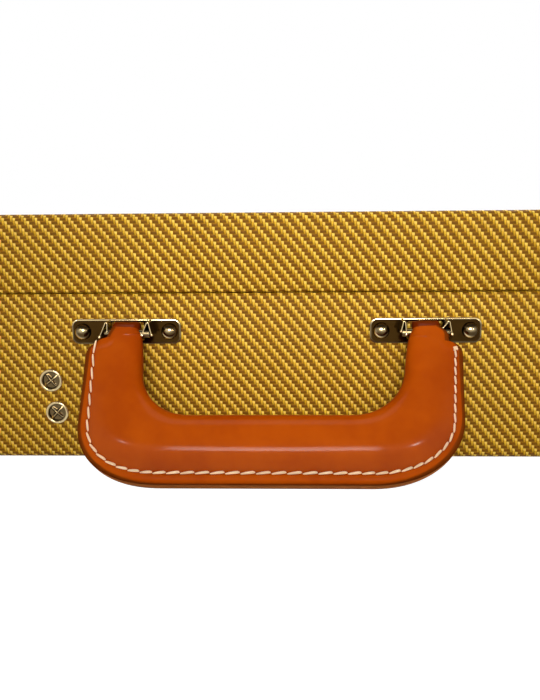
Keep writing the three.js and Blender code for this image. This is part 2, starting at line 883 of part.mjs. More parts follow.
function latchLink(name) {
  const eye = linkPinRadius + fitGap + linkEyeWall;
  const height = latchPivotHeight - linkPinDrop;
  const out = latchPivotOut - linkPinInset;
  const plate = box(
    -linkWidth / 2, height, out - linkThickness / 2,
    linkWidth / 2, seamHeight + linkOverSeam, out + linkThickness / 2,
  );
  const barrel = rodAlongX(eye, -linkWidth / 2, linkWidth / 2, height, out);
  const bore = rodAlongX(linkPinRadius + fitGap, -linkWidth, linkWidth, height, out);
  return meshOf(name, cut(join(barrel, plate), bore), nickel);
}

function latchCatch(name) {
  const low = seamHeight + catchAboveSeam;
  const outline = roundedOutline(catchPlateWidth, catchPlateLength, latchPlateCorner);
  const plate = prism(outline, 0, latchPlateThickness).translate([0, low + catchPlateLength / 2, 0]);
  const ledgeOut = latchPivotOut - linkPinInset - linkThickness / 2 - fitGap;
  const ledge = box(
    -catchLedgeWidth / 2, low + catchLedgeStart, latchPlateThickness / 2,
    catchLedgeWidth / 2, low + catchLedgeStart + catchLedgeHeight, ledgeOut,
  );
  const rivets = [-1, 1].map((side) => smallRivet(
    side * (catchPlateWidth / 2 - 2 * smallRivetRadius),
    low + catchPlateLength - smallRivetRadius - latchPlateCorner / 2, latchPlateThickness,
  ));
  return meshOf(name, join(plate, ledge, ...rivets), nickel);
}

function latch(name, x) {
  const group = new THREE.Group();
  group.position.set(x, 0, 0);
  group.add(
    latchBase(`${name}_latch_base`),
    latchLever(`${name}_latch_lever`),
    linkPin(`${name}_latch_pin`),
    latchLink(`${name}_latch_link`),
    latchCatch(`${name}_latch_catch`),
  );
  return group;
}

// The hinges, in the back wall's frame: X along, Y up, Z out of the wall

function knuckle(lowX, highX) {
  return rodAlongX(knuckleRadius, lowX, highX, seamHeight, hingeAxisY - wallY);
}

function hingeLeaf(name, isLid) {
  const turn = isLid ? 1 : -1;
  const near = seamHeight + turn * (knuckleRadius + fitGap);
  const far = seamHeight + turn * hingeLeafHeight;
  const half = hingeLength / 2;
  const plate = box(-half, Math.min(near, far), 0, half, Math.max(near, far), hingeLeafThickness);
  const innerEdge = knuckleMiddle / 2 + (isLid ? 0 : fitGap);
  const spans = isLid ? [[-innerEdge, innerEdge]] : [[-half, -innerEdge], [innerEdge, half]];
  const parts = [];
  for (const [lowX, highX] of spans) {
    parts.push(knuckle(lowX, highX));
    parts.push(box(
      lowX, Math.min(seamHeight, near + turn * fitGap), 0,
      highX, Math.max(seamHeight, near + turn * fitGap), hingeLeafThickness,
    ));
  }
  const rivetHeight = (near + far) / 2;
  for (const x of [-hingeLength / 3, 0, hingeLength / 3]) {
    parts.push(smallRivet(x, rivetHeight, hingeLeafThickness));
  }
  const bore = rodAlongX(
    hingePinRadius + fitGap, -hingeLength, hingeLength, seamHeight, hingeAxisY - wallY,
  );
  return meshOf(name, cut(join(plate, ...parts), bore), nickel);
}

function hingePin(name) {
  const half = hingeLength / 2 + fitGap;
  const end = half + hingePinHeadLength;
  const profile = [
    [0, -end], [hingePinHeadRadius, -end], [hingePinHeadRadius, -half], [hingePinRadius, -half],
    [hingePinRadius, half], [hingePinHeadRadius, half], [hingePinHeadRadius, end], [0, end],
  ];
  const mesh = meshOf(name, turned(profile), steel);
  mesh.rotation.y = Math.PI / 2;
  mesh.position.set(0, seamHeight, hingeAxisY - wallY);
  return mesh;
}

function hinge(name, x) {
  const group = new THREE.Group();
  group.position.set(x, 0, 0);
  group.add(
    hingeLeaf(`${name}_hinge_body_leaf`, false),
    hingeLeaf(`${name}_hinge_lid_leaf`, true),
    hingePin(`${name}_hinge_pin`),
  );
  return group;
}

function foot(name, x, height) {
  const profile = [[0, 0], ...domeProfile(footRadius, footHeight)];
  const mesh = meshOf(name, turned(profile), rubber);
  mesh.position.set(x, height, 0);
  return mesh;
}

// The assembly

const frontWall = new THREE.Group();
frontWall.position.set(0, -wallY, 0);
frontWall.rotation.x = Math.PI / 2;
frontWall.add(
  bracket('bracket_left', -1),
  bracket('bracket_right', 1),
  domeRivet('bracket_left_rivet_outer', bracketRivetPlaces[0]),
  domeRivet('bracket_left_rivet_inner', bracketRivetPlaces[1]),
  domeRivet('bracket_right_rivet_inner', bracketRivetPlaces[2]),
  domeRivet('bracket_right_rivet_outer', bracketRivetPlaces[3]),
  clinchRivet('box_rivet_upper', clinchPlaces[0]),
  clinchRivet('box_rivet_lower', clinchPlaces[1]),
  latch('left_outer', -latchOuterX),
  latch('left_inner', -latchInnerX),
  latch('right_inner', latchInnerX),
  latch('right_outer', latchOuterX),
);

const handle = new THREE.Group();
handle.position.set(handleSlide, -wallY - barOffset, bracketHeight);
handle.rotation.x = -restTilt;
handle.add(handleLeather(), handleCore());

const backWall = new THREE.Group();
backWall.position.set(0, wallY, 0);
backWall.rotation.set(Math.PI / 2, 0, Math.PI, 'ZYX');
backWall.add(
  hinge('left', hingeSpacing),
  hinge('middle', 0),
  hinge('right', -hingeSpacing),
  foot('body_foot_left', footX, bodyFootHeight),
  foot('body_foot_right', -footX, bodyFootHeight),
  foot('lid_foot_left', footX, caseHeight - lidFootBelowTop),
  foot('lid_foot_right', -footX, caseHeight - lidFootBelowTop),
);

const guitarCase = new THREE.Group();
guitarCase.add(
  bodyBottomCloth(),
  bodySideCloth(),
  bodyRim(),
  bodyPanel(),
  bodyValance(),
  bedPad(),
  neckRest(),
  accessoryBox(),
  boxLid(),
  boxLidTab(),
  lidTopCloth(),
  lidSideCloth(),
  lidRim(),
  lidPanel(),
  lidPad(),
  frontWall,
  handle,
  backWall,
);
guitarCase.updateMatrixWorld(true);

export default guitarCase;
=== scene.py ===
# A tweed guitar case with a stitched leather handle: finishes, fine shapes, light and camera.
from math import acos, atan, cos, exp, hypot, pi, radians, sin, sqrt, tan

import bmesh
import bpy
import numpy as np
from mathutils import Matrix, Vector


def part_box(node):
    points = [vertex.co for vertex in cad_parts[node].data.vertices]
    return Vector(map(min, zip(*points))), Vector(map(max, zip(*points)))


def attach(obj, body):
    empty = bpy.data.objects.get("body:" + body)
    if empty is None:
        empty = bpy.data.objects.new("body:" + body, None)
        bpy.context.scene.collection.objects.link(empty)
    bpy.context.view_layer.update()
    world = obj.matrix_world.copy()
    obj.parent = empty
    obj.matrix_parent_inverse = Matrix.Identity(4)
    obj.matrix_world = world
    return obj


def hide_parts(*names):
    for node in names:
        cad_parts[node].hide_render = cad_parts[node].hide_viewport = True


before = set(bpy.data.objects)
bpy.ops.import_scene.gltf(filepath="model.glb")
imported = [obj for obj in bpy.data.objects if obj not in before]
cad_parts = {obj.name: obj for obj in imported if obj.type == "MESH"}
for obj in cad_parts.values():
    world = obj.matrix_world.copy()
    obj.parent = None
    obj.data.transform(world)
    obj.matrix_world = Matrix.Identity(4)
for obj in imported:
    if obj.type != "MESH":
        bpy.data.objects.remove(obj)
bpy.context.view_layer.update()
mm = 0.001
quarter = pi / 2


def inMetres(sizes):  # a table of millimetres
    return {key: size * mm for key, size in sizes.items()}


def arc(steps, start=0.0, end=quarter):  # angles, with both ends
    return [start + (end - start) * (step / steps) for step in range(steps + 1)]


def circle(sides):  # the cosine and sine of angles all round
    angles = [side / sides * 4 * quarter for side in range(sides)]
    return [(cos(angle), sin(angle)) for angle in angles]


# Shader sums

class Wire:  # a node's output that can stand in a sum
    def __init__(self, graph, socket):
        self.graph = graph
        self.socket = socket

    def __neg__(self):
        return self * -1

    def between(self, low, high):  # 0 below low, 1 above high
        return self.graph.add("MapRange", {0: self, 1: low, 2: high, 3: 0.0, 4: 1.0},
                              interpolation_type="SMOOTHSTEP")

    def other(self, name):  # another output of the same node
        return Wire(self.graph, self.socket.node.outputs[name])


def wireSum(operation, isSecond):
    def makeSum(self, *others):
        terms = [*others, self] if isSecond else [self, *others]
        return self.graph.add("Math", dict(enumerate(terms)), operation=operation)
    return makeSum


wireSums = {
    "__add__": "ADD", "__radd__": "ADD", "__sub__": "SUBTRACT", "__rsub__": "SUBTRACT",
    "__mul__": "MULTIPLY", "__pow__": "POWER", "floor": "FLOOR", "root": "SQRT", "cos": "COSINE",
    "sin": "SINE", "size": "ABSOLUTE", "wrapped": "FLOORED_MODULO", "atLeast": "MAXIMUM",
    "atMost": "MINIMUM",
}
for name, operation in wireSums.items():
    setattr(Wire, name, wireSum(operation, name.startswith("__r")))


class Graph:  # the nodes of one material or of the world
    def __init__(self, tree, material=None):
        self.tree = tree
        self.material = material
        tree.nodes.clear()

    def add(self, kind, sockets=None, out=0, **settings):
        node = self.tree.nodes.new("ShaderNode" + kind)
        for key, value in settings.items():
            setattr(node, key, value)
        for key, value in (sockets or {}).items():
            if isinstance(value, Wire):
                self.tree.links.new(value.socket, node.inputs[key])
            else:
                node.inputs[key].default_value = value
        return Wire(self, node.outputs[out]) if len(node.outputs) else None

    def mix(self, share, first, second, how="MIX"):
        return self.add("Mix", {0: share, 6: first, 7: second}, 2,
                        data_type="RGBA", blend_type=how, clamp_factor=True)

    def noise(self, place, scale, detail=2.0, rough=0.5):
        sockets = {"Vector": place, "Scale": scale, "Detail": detail, "Roughness": rough}
        return self.add("TexNoise", sockets)

    def random(self, place):  # one value for each whole number
        return self.add("TexWhiteNoise", {"W": place}, noise_dimensions="1D")

    def scaled(self, place, size):  # a place stretched by three numbers
        return self.add("VectorMath", {0: place, 1: size}, operation="MULTIPLY")

    def joined(self, x, y, z=0.0):
        return self.add("CombineXYZ", {0: x, 1: y, 2: z})

    def split(self, place):
        return self.add("SeparateXYZ", {0: place})

    def bump(self, height, depth, strength=1.0):
        return self.add("Bump", {"Height": height, "Distance": depth, "Strength": strength})

    def objectPlace(self):
        return self.add("TexCoord", out="Object")

    def painted(self, name):  # a number kept on the mesh
        return self.add("Attribute", out="Fac", attribute_name=name)


def tint(red, green, blue):  # a screen colour of 0 to 255 as Blender's own
    parts = [part / 255 for part in (red, green, blue)]
    linear = [part / 12.92 if part <= 0.04045 else ((part + 0.055) / 1.055) ** 2.4
              for part in parts]
    return (*linear, 1)


def newFinish(name):
    made = bpy.data.materials.new(name)
    made.use_nodes = True
    return Graph(made.node_tree, made)


def closeFinish(graph, **sockets):  # the last two nodes of every solid finish
    named = {}
    for key, value in sockets.items():
        words = "".join(" " + letter if letter.isupper() else letter for letter in key[1:])
        named[key[0].upper() + words] = value
    if "Specular" in named:
        named["Specular IOR Level"] = named.pop("Specular")
    graph.add("OutputMaterial", {0: graph.add("BsdfPrincipled", named)})
    return graph.material


# Tweed: gold warp over brown weft, two over and two under, lacquered

tweed = {
    "endPitch": 1.31 * mm,
    "pickPitch": 1.69 * mm,
    "lean": radians(4),
    "swing": 0.55,  # how far a thread goes up and down, in thread sizes
    "roundness": 0.75,
    "drift": 0.2,  # how far the threads stray, in thread sizes
    "jitter": 0.16,
    "warpWidth": 0.9,
    "weftWidth": 1.04,
    "taper": 0.22,  # a gold thread narrows where it dives
    "goldHighlight": tint(255, 221, 112),
    "goldLight": tint(238, 198, 64),
    "goldDark": tint(206, 160, 28),
    "brownLight": tint(160, 111, 12),
    "brownDark": tint(90, 54, 0),
    # a painted shade colour for the low places between threads
    "creviceShade": tint(66, 36, 0),
    "relief": 0.36 * mm,
}


def tweedFinish():
    graph = newFinish("lacqueredTweed")
    way = graph.add("UVMap", uv_map="clothWay")
    across = graph.split(way)
    up = across.other("Y")
    u = (across + up * tan(tweed["lean"])) * (1 / tweed["endPitch"])
    v = up * (1 / tweed["pickPitch"])
    wobble = graph.noise(graph.joined(u, v), 0.35, 1.0)
    jitter = graph.noise(graph.joined(u, v, 3.1), 1.1, 1.0)
    u = u + (wobble - 0.5) * tweed["drift"] + (jitter - 0.5) * tweed["jitter"]
    v = v + (wobble.other("Color") - 0.5) * tweed["drift"]
    end = u.floor()
    pick = v.floor()
    inEnd = u - end
    inPick = v - pick
    step = (end + pick).wrapped(4)
    alongWarp = (step + inPick - 1) * quarter
    warpTop = alongWarp.sin()  # 1 at a gold float's upper end, -1 at its lower end
    warpWave = alongWarp.cos() * tweed["swing"]
    weftWave = ((step + inEnd - 1) * quarter).cos() * -tweed["swing"]
    warpSide = (inEnd * 2 - 1) * (1 / tweed["warpWidth"]) * (1 - warpTop * tweed["taper"])
    weftSide = (inPick * 2 - 1) * (1 / tweed["weftWidth"])
    warpRound = (1 - warpSide * warpSide).atLeast(0).root()
    weftRound = (1 - weftSide * weftSide).atLeast(0).root()
    warpHeight = warpWave + warpRound * tweed["roundness"]
    weftHeight = weftWave + weftRound * tweed["roundness"]
    warpOnTop = (warpHeight - weftHeight).between(-0.12, 0.16)
    height = warpHeight.atLeast(weftHeight)
    warpFibre = graph.noise(graph.joined(u * 5, v * 1.1), 1.0, 3.0, 0.7)
    weftFibre = graph.noise(graph.joined(u * 1.1, v * 5, 7.3), 1.0, 3.0, 0.7)
    fibre = warpFibre * warpOnTop + weftFibre * (1 - warpOnTop)
    goldShare = graph.random(end) * 0.5 + graph.random(end * 7.31 + (v * 0.5).floor()) * 0.5
    gold = graph.mix(goldShare.atMost(1), tweed["goldDark"], tweed["goldLight"])
    # painted highlight: gold lightened at a float's upper end, as if lit from above
    gold = graph.mix(warpTop.between(0.15, 0.9) * 0.75, gold, tweed["goldHighlight"])
    # painted shade: gold darkened towards brown at a float's lower end, where it dives under the weft
    gold = graph.mix((-warpTop).between(0.35, 1.0) * 0.45, gold, tweed["brownLight"])
    # painted shade: gold darkened to dark brown on the rounded sides of each thread
    gold = graph.mix(warpRound.between(0.05, 0.85) * 0.8 + 0.2, tweed["brownDark"], gold)
    border = (inPick * 2 - 0.92).size()  # 0 in the middle of a weft thread, dark there
    brownShare = border ** 1.6 * 0.62 + weftFibre.between(0.35, 0.8) * 0.34
    brownShare = brownShare + graph.random(pick + 0.37) * 0.08
    brown = graph.mix(brownShare.atMost(1), tweed["brownDark"], tweed["brownLight"])
    colour = graph.mix(warpOnTop, brown, gold)
    # painted shade: darker in the low places between threads
    colour = graph.mix((1 - height.between(-0.25, 0.5)) * 0.5, colour, tweed["creviceShade"])
    colour = graph.mix(fibre.between(0.3, 0.75) * 0.3, colour, tweed["goldLight"], "SOFT_LIGHT")
    patch = graph.noise(way, 9.0, 3.0)
    colour = graph.mix(patch.between(0.25, 0.8) * 0.1, colour, tweed["brownLight"])
    return closeFinish(
        graph,
        baseColor=colour,
        roughness=0.74 - height.between(0.2, 1.2) * 0.28,
        specular=0.13,
        normal=graph.bump(height + fibre * 0.22, tweed["relief"]),
    )


# Leather: glossy russet hide, dark painted edge, painted shade on the loop round the bar

hide = {
    "light": tint(172, 74, 3),
    "dark": tint(153, 59, 1),
    # painted shade on the loop round the bar
    "loop": tint(104, 34, 2),
    "edge": tint(106, 47, 7),  # painted, on the front
    "edgeFlatLit": tint(212, 128, 70),  # the outer face, lightened as painted light from the floor below
    # worn streaks on the outer face, lightened the same way as painted light
    "edgeWornAndLit": tint(204, 130, 62),
    # a painted shade colour for the stitch groove
    "grooveShade": tint(112, 44, 4),
    "roughness": 0.3,
}


def leatherFinish():
    graph = newFinish("russetLeather")
    place = graph.objectPlace()
    cloud = graph.noise(place, 28.0, 4.0, 0.6)
    pores = graph.add("TexVoronoi", {"Vector": place, "Scale": 1500.0}, feature="F1")
    creases = graph.noise(graph.scaled(place, (1.0, 2.2, 2.2)), 320.0, 4.0, 0.65)
    edge = graph.painted("edgePaint")
    valley = graph.painted("stitchGroove")
    loop = graph.painted("loopShade")
    colour = graph.mix(cloud.between(0.3, 0.72), hide["dark"], hide["light"])
    # painted shade: darker along the stitch groove
    colour = graph.mix(valley * 0.5, colour, hide["grooveShade"])
    # painted shade: the loop round the bar darkened
    colour = graph.mix(loop, colour, hide["loop"])
    flatEdge = (edge - 1).atLeast(0)
    edge = edge.atMost(1)
    streaks = graph.noise(graph.scaled(place, (0.1, 1.0, 1.0)), 1100.0, 3.0).between(0.45, 0.75)
    # the flat outer edge: worn streaks in the paint, all lightened as painted light from the floor
    # below
    flatPaintAndLight = graph.mix(streaks * 0.6, hide["edgeFlatLit"], hide["edgeWornAndLit"])
    colour = graph.mix(edge, colour, graph.mix(flatEdge, hide["edge"], flatPaintAndLight))
    relief = pores * 0.2 + creases * 0.5 + edge * graph.noise(place, 700.0, 3.0) * 1.2
    return closeFinish(
        graph,
        baseColor=colour,
        roughness=cloud * 0.06 + hide["roughness"] + edge * 0.6,
        specular=0.01,
        coatWeight=(1 - graph.painted("rimShare")) * 0.2,
        coatRoughness=0.15,
        normal=graph.bump(relief, 0.07 * mm, 0.6),
    )


def threadFinish():
    graph = newFinish("creamThread")
    place = graph.objectPlace()
    sockets = {"Vector": place, "Scale": 1400.0, "Distortion": 2.0, "Detail": 1.0}
    strands = graph.add("TexWave", sockets, bands_direction="DIAGONAL")
    soil = graph.noise(place, 90.0, 2.0)
    colour = graph.mix(strands, tint(244, 204, 158), tint(255, 236, 206))
    colour = graph.mix(soil.between(0.55, 0.85) * 0.25, colour, tint(228, 184, 142))
    relief = graph.bump(strands, 0.09 * mm)
    return closeFinish(graph, baseColor=colour, roughness=0.75, specular=0.25, normal=relief)


# Metals: dulled nickel, tarnished nickel darkened brown as a painted dark reflection, and plain steel

def metalFinish(name, look, brushed=0.0):
    graph = newFinish(name)
    place = graph.objectPlace()
    tarnish = graph.noise(place, 60.0, 4.0, 0.6)
    specks = graph.noise(place, 420.0, 3.0, 0.7)
    lines = graph.noise(graph.scaled(place, (0.06, 1.0, 1.0)), 2600.0, 2.0)
    paintedHighlight = graph.painted("paintedHighlight")
    patina = (tarnish.between(0.35, 0.75) * 0.6 + specks.between(0.55, 0.8) * 0.4).atMost(1)
    colour = graph.mix(patina, look["bright"], look["dull"])
    # painted highlight: the highlight colour where the mesh's mark says
    base = graph.mix(paintedHighlight, colour, look["worn"])
    plain = look["roughness"]
    return closeFinish(
        graph,
        baseColor=base,
        metallic=1.0,
        roughness=patina * 0.14 + lines * brushed + (plain - paintedHighlight * plain * 0.3),
        normal=graph.bump(specks * 0.5 + lines * brushed * 4, 0.02 * mm, 0.5),
    )


nickel = {  # latches and hinges
    "bright": tint(176, 156, 120),
    "dull": tint(146, 126, 94),
    "worn": tint(236, 222, 196),
    "roughness": 0.15,
}
darkReflectionNickel = {  # brackets, rivets and studs: tarnished, and darkened brown as a painted reflection of dark surroundings
    "bright": tint(64, 44, 16),
    "dull": tint(34, 22, 7),
    # the painted highlight colour
    "worn": tint(250, 226, 172),
    "roughness": 0.13,
}
plainSteel = {
    "bright": tint(170, 166, 158),
    "dull": tint(110, 104, 94),
    "worn": tint(200, 196, 188),
    "roughness": 0.26,
}


def woodFinish():
    graph = newFinish("plainPlywood")
    place = graph.scaled(graph.objectPlace(), (1.0, 9.0, 9.0))
    grain = graph.noise(place, 16.0, 5.0, 0.6)
    fibres = graph.noise(graph.scaled(place, (1.0, 5.0, 5.0)), 60.0, 3.0, 0.7)
    share = grain.between(0.3, 0.7) * 0.65 + fibres * 0.35
    return closeFinish(
        graph, baseColor=graph.mix(share, tint(158, 116, 66), tint(214, 176, 118)),
        roughness=0.62 + fibres * 0.2, specular=0.3, normal=graph.bump(share, 0.12 * mm),
    )


plushPile = {
    "deep": tint(72, 12, 14),
    "tip": tint(142, 40, 38),
    "pile": 1.3 * mm,
}


def plushFinish():
    graph = newFinish("burgundyPlush")
    place = graph.objectPlace()
    pile = graph.noise(place, 900.0, 3.0, 0.75)
    tufts = graph.noise(place, 260.0, 3.0, 0.6)
    nap = graph.noise(place, 14.0, 3.0, 0.55)
    share = (pile * 1.1 + tufts * 0.7 + nap * 0.3 - 0.55).atLeast(0).atMost(1)
    return closeFinish(
        graph, baseColor=graph.mix(share, plushPile["deep"], plushPile["tip"]), roughness=0.95,
        specular=0.1, sheenWeight=0.5, sheenRoughness=0.4, sheenTint=tint(196, 110, 104),
        normal=graph.bump(pile * 0.6 + tufts, plushPile["pile"] * 0.5),
    )


def rubberFinish():
    graph = newFinish("mattRubber")
    place = graph.objectPlace()
    grain = graph.noise(place, 800.0, 3.0)
    dust = graph.noise(place, 70.0, 4.0).between(0.5, 0.8)
    return closeFinish(
        graph, baseColor=graph.mix(dust * 0.5, tint(30, 27, 25), tint(84, 76, 66)),
        roughness=0.6 + dust * 0.2, specular=0.35, normal=graph.bump(grain, 0.05 * mm),
    )


finishes = {
    "tweed": tweedFinish(),
    "leather": leatherFinish(),
    "thread": threadFinish(),
    "nickel": metalFinish("dulledNickel", nickel),
    "plate": metalFinish("darkReflectionNickel", darkReflectionNickel),
    "steel": metalFinish("plainSteel", plainSteel, 0.1),
    "wood": woodFinish(),
    "plush": plushFinish(),
    "rubber": rubberFinish(),
}
print("finishes:", len(finishes))


# Meshes

def newObject(name, data):
    made = bpy.data.objects.new(name, data)
    bpy.context.scene.collection.objects.link(made)
    return made


def newMesh(name, points, faces):
    data = bpy.data.meshes.new(name)
    data.from_pydata([tuple(point) for point in points], [], faces)
    return data


def newPiece(name, points, faces, finish, body, stands=(), corners=None, marks=None, sharp=32):
    data = newMesh(name, points, faces)
    if corners is not None:  # the cloth's own directions, in metres
        layer = data.uv_layers.new(name="clothWay")
        layer.data.foreach_set("uv", np.asarray(corners, np.float32).ravel())
    for key, values in (marks or {}).items():
        layer = data.attributes.new(key, "FLOAT", "POINT")
        layer.data.foreach_set("value", np.asarray(values, np.float32))
    data.polygons.foreach_set("use_smooth", [True] * len(data.polygons))
    data.set_sharp_from_angle(angle=radians(sharp))
    data.materials.append(finishes[finish])
    piece = newObject(name, data)
    if stands:
        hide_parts(*stands)
    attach(piece, body)
    return piece


def loopFaces(rowCount, columnCount, closeRows=False, flip=False):
    faces = []
    for row in range(rowCount if closeRows else rowCount - 1):
        here, below = row * columnCount, (row + 1) % rowCount * columnCount
        for column in range(columnCount):
            after = (column + 1) % columnCount
            face = (here + column, here + after, below + after, below + column)
            faces.append(face[::-1] if flip else face)
    return faces


def shifted(faces, base):  # the same faces for points that start at base
    return [tuple(base + corner for corner in face) for face in faces]


def wayAlong(places):  # the length of a line of points up to each of them
    gaps = np.linalg.norm(np.diff(places, axis=0), axis=1)
    return np.concatenate([[0], np.cumsum(gaps)])


def acrossLine(places):  # the unit direction across a line of points at each of them
    along = np.gradient(places, axis=0)
    along = along / np.linalg.norm(along, axis=1)[:, None]
    return np.column_stack([-along[:, 1], along[:, 0]])


def roundPlan(halfLength, halfWidth, radius, steps):
    # A rounded rectangle from the middle of its far side: places, outward directions, way along
    places = [(0.0, halfWidth)]
    outward = [(0.0, 1.0)]
    for signX, signY, turn in ((-1, 1, 1), (-1, -1, 2), (1, -1, 3), (1, 1, 0)):
        for step in range(steps + 1):
            angle = (turn + step / steps) * quarter
            normal = (cos(angle), sin(angle))
            places.append((signX * (halfLength - radius) + radius * normal[0],
                           signY * (halfWidth - radius) + radius * normal[1]))
            outward.append(normal)
    places = np.array(places)
    way = wayAlong(np.vstack([places, places[:1]]))
    return places, np.array(outward), way - way[-1] / 2


def rings(plan, rows):  # one loop of points for each (inset, height)
    places, outward, _ = plan
    return np.vstack([
        np.column_stack([places - outward * inset, np.full(len(places), height)])
        for inset, height in rows
    ])


# The cloth skins of the body and the lid

shell = {
    "corner": 32 * mm,
    "edge": 4 * mm,
    "cloth": 1 * mm,
    "lipRound": 1.3 * mm,
    "turnIn": 9.2 * mm,
    "cornerSteps": 16,
    "edgeSteps": 8,
    "lipSteps": 4,
}
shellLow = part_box("body_bottom_cloth")[0]
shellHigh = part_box("lid_top_cloth")[1]
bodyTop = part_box("body_side_cloth")[1].z
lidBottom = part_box("lid_side_cloth")[0].z


def clothSkin(name, flat, seam, body, stands):
    way = 1 if seam > flat else -1  # up for the body, down for the lid
    depth = abs(seam - flat)
    edge = shell["edge"]
    thick = shell["cloth"]
    lip = shell["lipRound"]
    turnIn = shell["turnIn"]
    plan = roundPlan(shellHigh.x, shellHigh.y, shell["corner"], shell["cornerSteps"])
    rows = []  # inset, height from the flat face, place along the cloth
    for angle in arc(shell["edgeSteps"]):
        rows.append((edge - edge * sin(angle), edge - edge * cos(angle),
                     edge - edge * (quarter - angle)))
    for angle in arc(shell["lipSteps"]):
        rows.append((lip - lip * cos(angle), depth - lip + lip * sin(angle),
                     depth - lip + lip * angle))
    outerEnd = depth + lip * (quarter - 2) + turnIn
    rows.append((turnIn, depth, outerEnd))
    rows.append((turnIn, depth - thick, outerEnd + thick))
    rows.append((thick, depth - thick, outerEnd + turnIn))
    inner = edge - thick
    for angle in arc(shell["edgeSteps"]):
        rows.append((thick + inner * (1 - cos(angle)), edge - inner * sin(angle), 0))
    columns = len(plan[0])
    points = rings(plan, [(inset, flat + way * height) for inset, height, _ in rows])
    faces = loopFaces(len(rows), columns, flip=way < 0)
    corners = []
    for (_, _, near), (_, _, far) in zip(rows[:-1], rows[1:]):
        near, far = flat + way * near, flat + way * far
        for here, after in zip(plan[2][:-1], plan[2][1:]):
            corner = [(here, near), (after, near), (after, far), (here, far)]
            corners.extend(corner[::-1] if way < 0 else corner)
    start = list(range(columns))
    last = list(range((len(rows) - 1) * columns, len(rows) * columns))
    base = flat + way * rows[0][2]
    for ring in (start[::-way], last[::way]):
        faces.append(ring)
        corners.extend((x, base - way * (y + shellHigh.y - edge)) for x, y, _ in points[ring])
    newPiece(name, points, faces, "tweed", body, stands, corners)


bodyNodes = ["body_bottom_cloth", "body_side_cloth"]
clothSkin("body_cloth", shellLow.z, bodyTop, "case_body", bodyNodes)
clothSkin("lid_cloth", shellHigh.z, lidBottom, "lid", ["lid_top_cloth", "lid_side_cloth"])
print("cloth skins")


# The handle's leather, in its own plane: across the case, drop from the bars, out of the front

grip = inMetres({
    "bracketSpacing": 141,
    "slide": -1.2,
    "sway": 1.4,  # the loops sit this far right of the grip's middle
    "swayDrop": 36,
    "barHeight": 63,
    "barOut": 7.2,
    "barRadius": 2,
    "strapInset": 1.3,
    "strapWidth": 12.6,
    "strapEase": 26,  # how far down the loop's thickness fades into the strap's
    "loopRadius": 5.5,
    "loopPinch": 0.5,
    "loopLeast": 0.05,
    "skinTop": -1.2,  # where the front skin ends, above the bar's axis
    "skinStep": 0.4,
    "skinSink": 0.3,  # how much thinner the skin starts
    "legFlare": 3.4,
    "innerDrop": 40.4,
    "innerRoundLength": 23.8,
    "innerRoundDepth": 23,
    "outerDrop": 71.6,
    "outerHalf": 84.5,
    "outerRoundLength": 39,
    "outerRoundDepth": 29,
    "strapHalf": 4.6,
    "legHalf": 8.5,
    "gripHalf": 12,
    "lipHalf": 5.8,
    "cornerRound": 1.6,
    "edgeRound": 2.0,  # with its paint
    "stitchInset": 4.7,  # from the edge of the leather to the thread
    "stitchFade": 3,
    "leanReach": 5,
    "groove": 0.42,
    "grooveWidth": 0.9,
    "rimBulge": 0.3,
    "paintReach": 2.1,
    "paintLeast": 0.25,
    "paintFade": 0.7,
})
mouth = inMetres({"above": 3, "depth": 6.3, "back": 3.0, "front": 3.4, "width": 8, "start": 0.4})
crownShare = 0.58  # the crown's place across the leather, from the fold
shoulders = {  # the leather's two ends weren't cut alike
    -1: inMetres({"drop": 4.6, "round": 7.9, "flare": 2.3, "flareDrop": 8.0, "start": 0.1, "out": 1.6,
                 "threadStart": 6.0, "threadInset": 3.9, "threadLean": 1.5}),
    1: inMetres({"drop": 7.1, "round": 5.7, "flare": 3.5, "flareDrop": 3.7, "start": 0.5, "out": 0.7,
                "threadStart": 10.2, "threadInset": 3.6, "threadLean": 0.0}),
}
shoulders[-1]["power"], shoulders[-1]["fullness"] = 1.75, 2.3
shoulders[1]["power"], shoulders[1]["fullness"] = 2.2, 2.08
restClearance = 0.3 * mm
gripCorner = grip["lipHalf"] - grip["cornerRound"]
gripReach = hypot(grip["outerDrop"], gripCorner)
gripTilt = acos((grip["barHeight"] - restClearance) / gripReach)
gripTilt += atan(gripCorner / grip["outerDrop"])
wallY = shellLow.y
strapMiddle = grip["bracketSpacing"] / 2 - grip["strapInset"]
strapInner = strapMiddle - grip["strapWidth"] / 2
strapOuter = strapMiddle + grip["strapWidth"] / 2
legEnd = grip["outerDrop"] - grip["outerRoundDepth"]


def hangHandle(points):  # from the handle's plane to the case
    across, drop, out = np.asarray(points, float).reshape(-1, 3).T
    sine, cosine = sin(gripTilt), cos(gripTilt)
    return np.column_stack([
        across + grip["slide"] + grip["sway"] * (1 - drop / grip["swayDrop"]),
        wallY - grip["barOut"] - drop * sine - out * cosine,
        grip["barHeight"] - drop * cosine + out * sine,
    ])


def easeIn(value):  # 0 to 1 with level ends
    value = np.clip(value, 0, 1)
    return value * value * (3 - 2 * value)


def lipLine(drop, end):
    return grip["outerHalf"] + end["out"] * (1 - drop / legEnd)


def legOuter(drop, end):
    flared = min(1, max(0, (drop + end["start"]) / (end["flareDrop"] + end["start"])))
    strapEdge = strapOuter + end["flare"] * (1 - (1 - flared) ** 2)
    turned = min(1, max(0, (drop - end["drop"]) / end["round"]))
    lipShare = (1 - (1 - turned) ** end["power"]) ** (1 / end["power"])
    return strapEdge + (lipLine(drop, end) - strapEdge) * lipShare


def station(inner, outer, swell, lip, stitched, lipPlace=None, inset=0.0):
    return {"inner": np.array(inner), "outer": np.array(outer), "swell": swell, "lip": lip,
            "stitched": stitched, "loop": 0.0 if inset else 1.0, "inset": inset,
            "lipPlace": np.array(outer if lipPlace is None else lipPlace)}


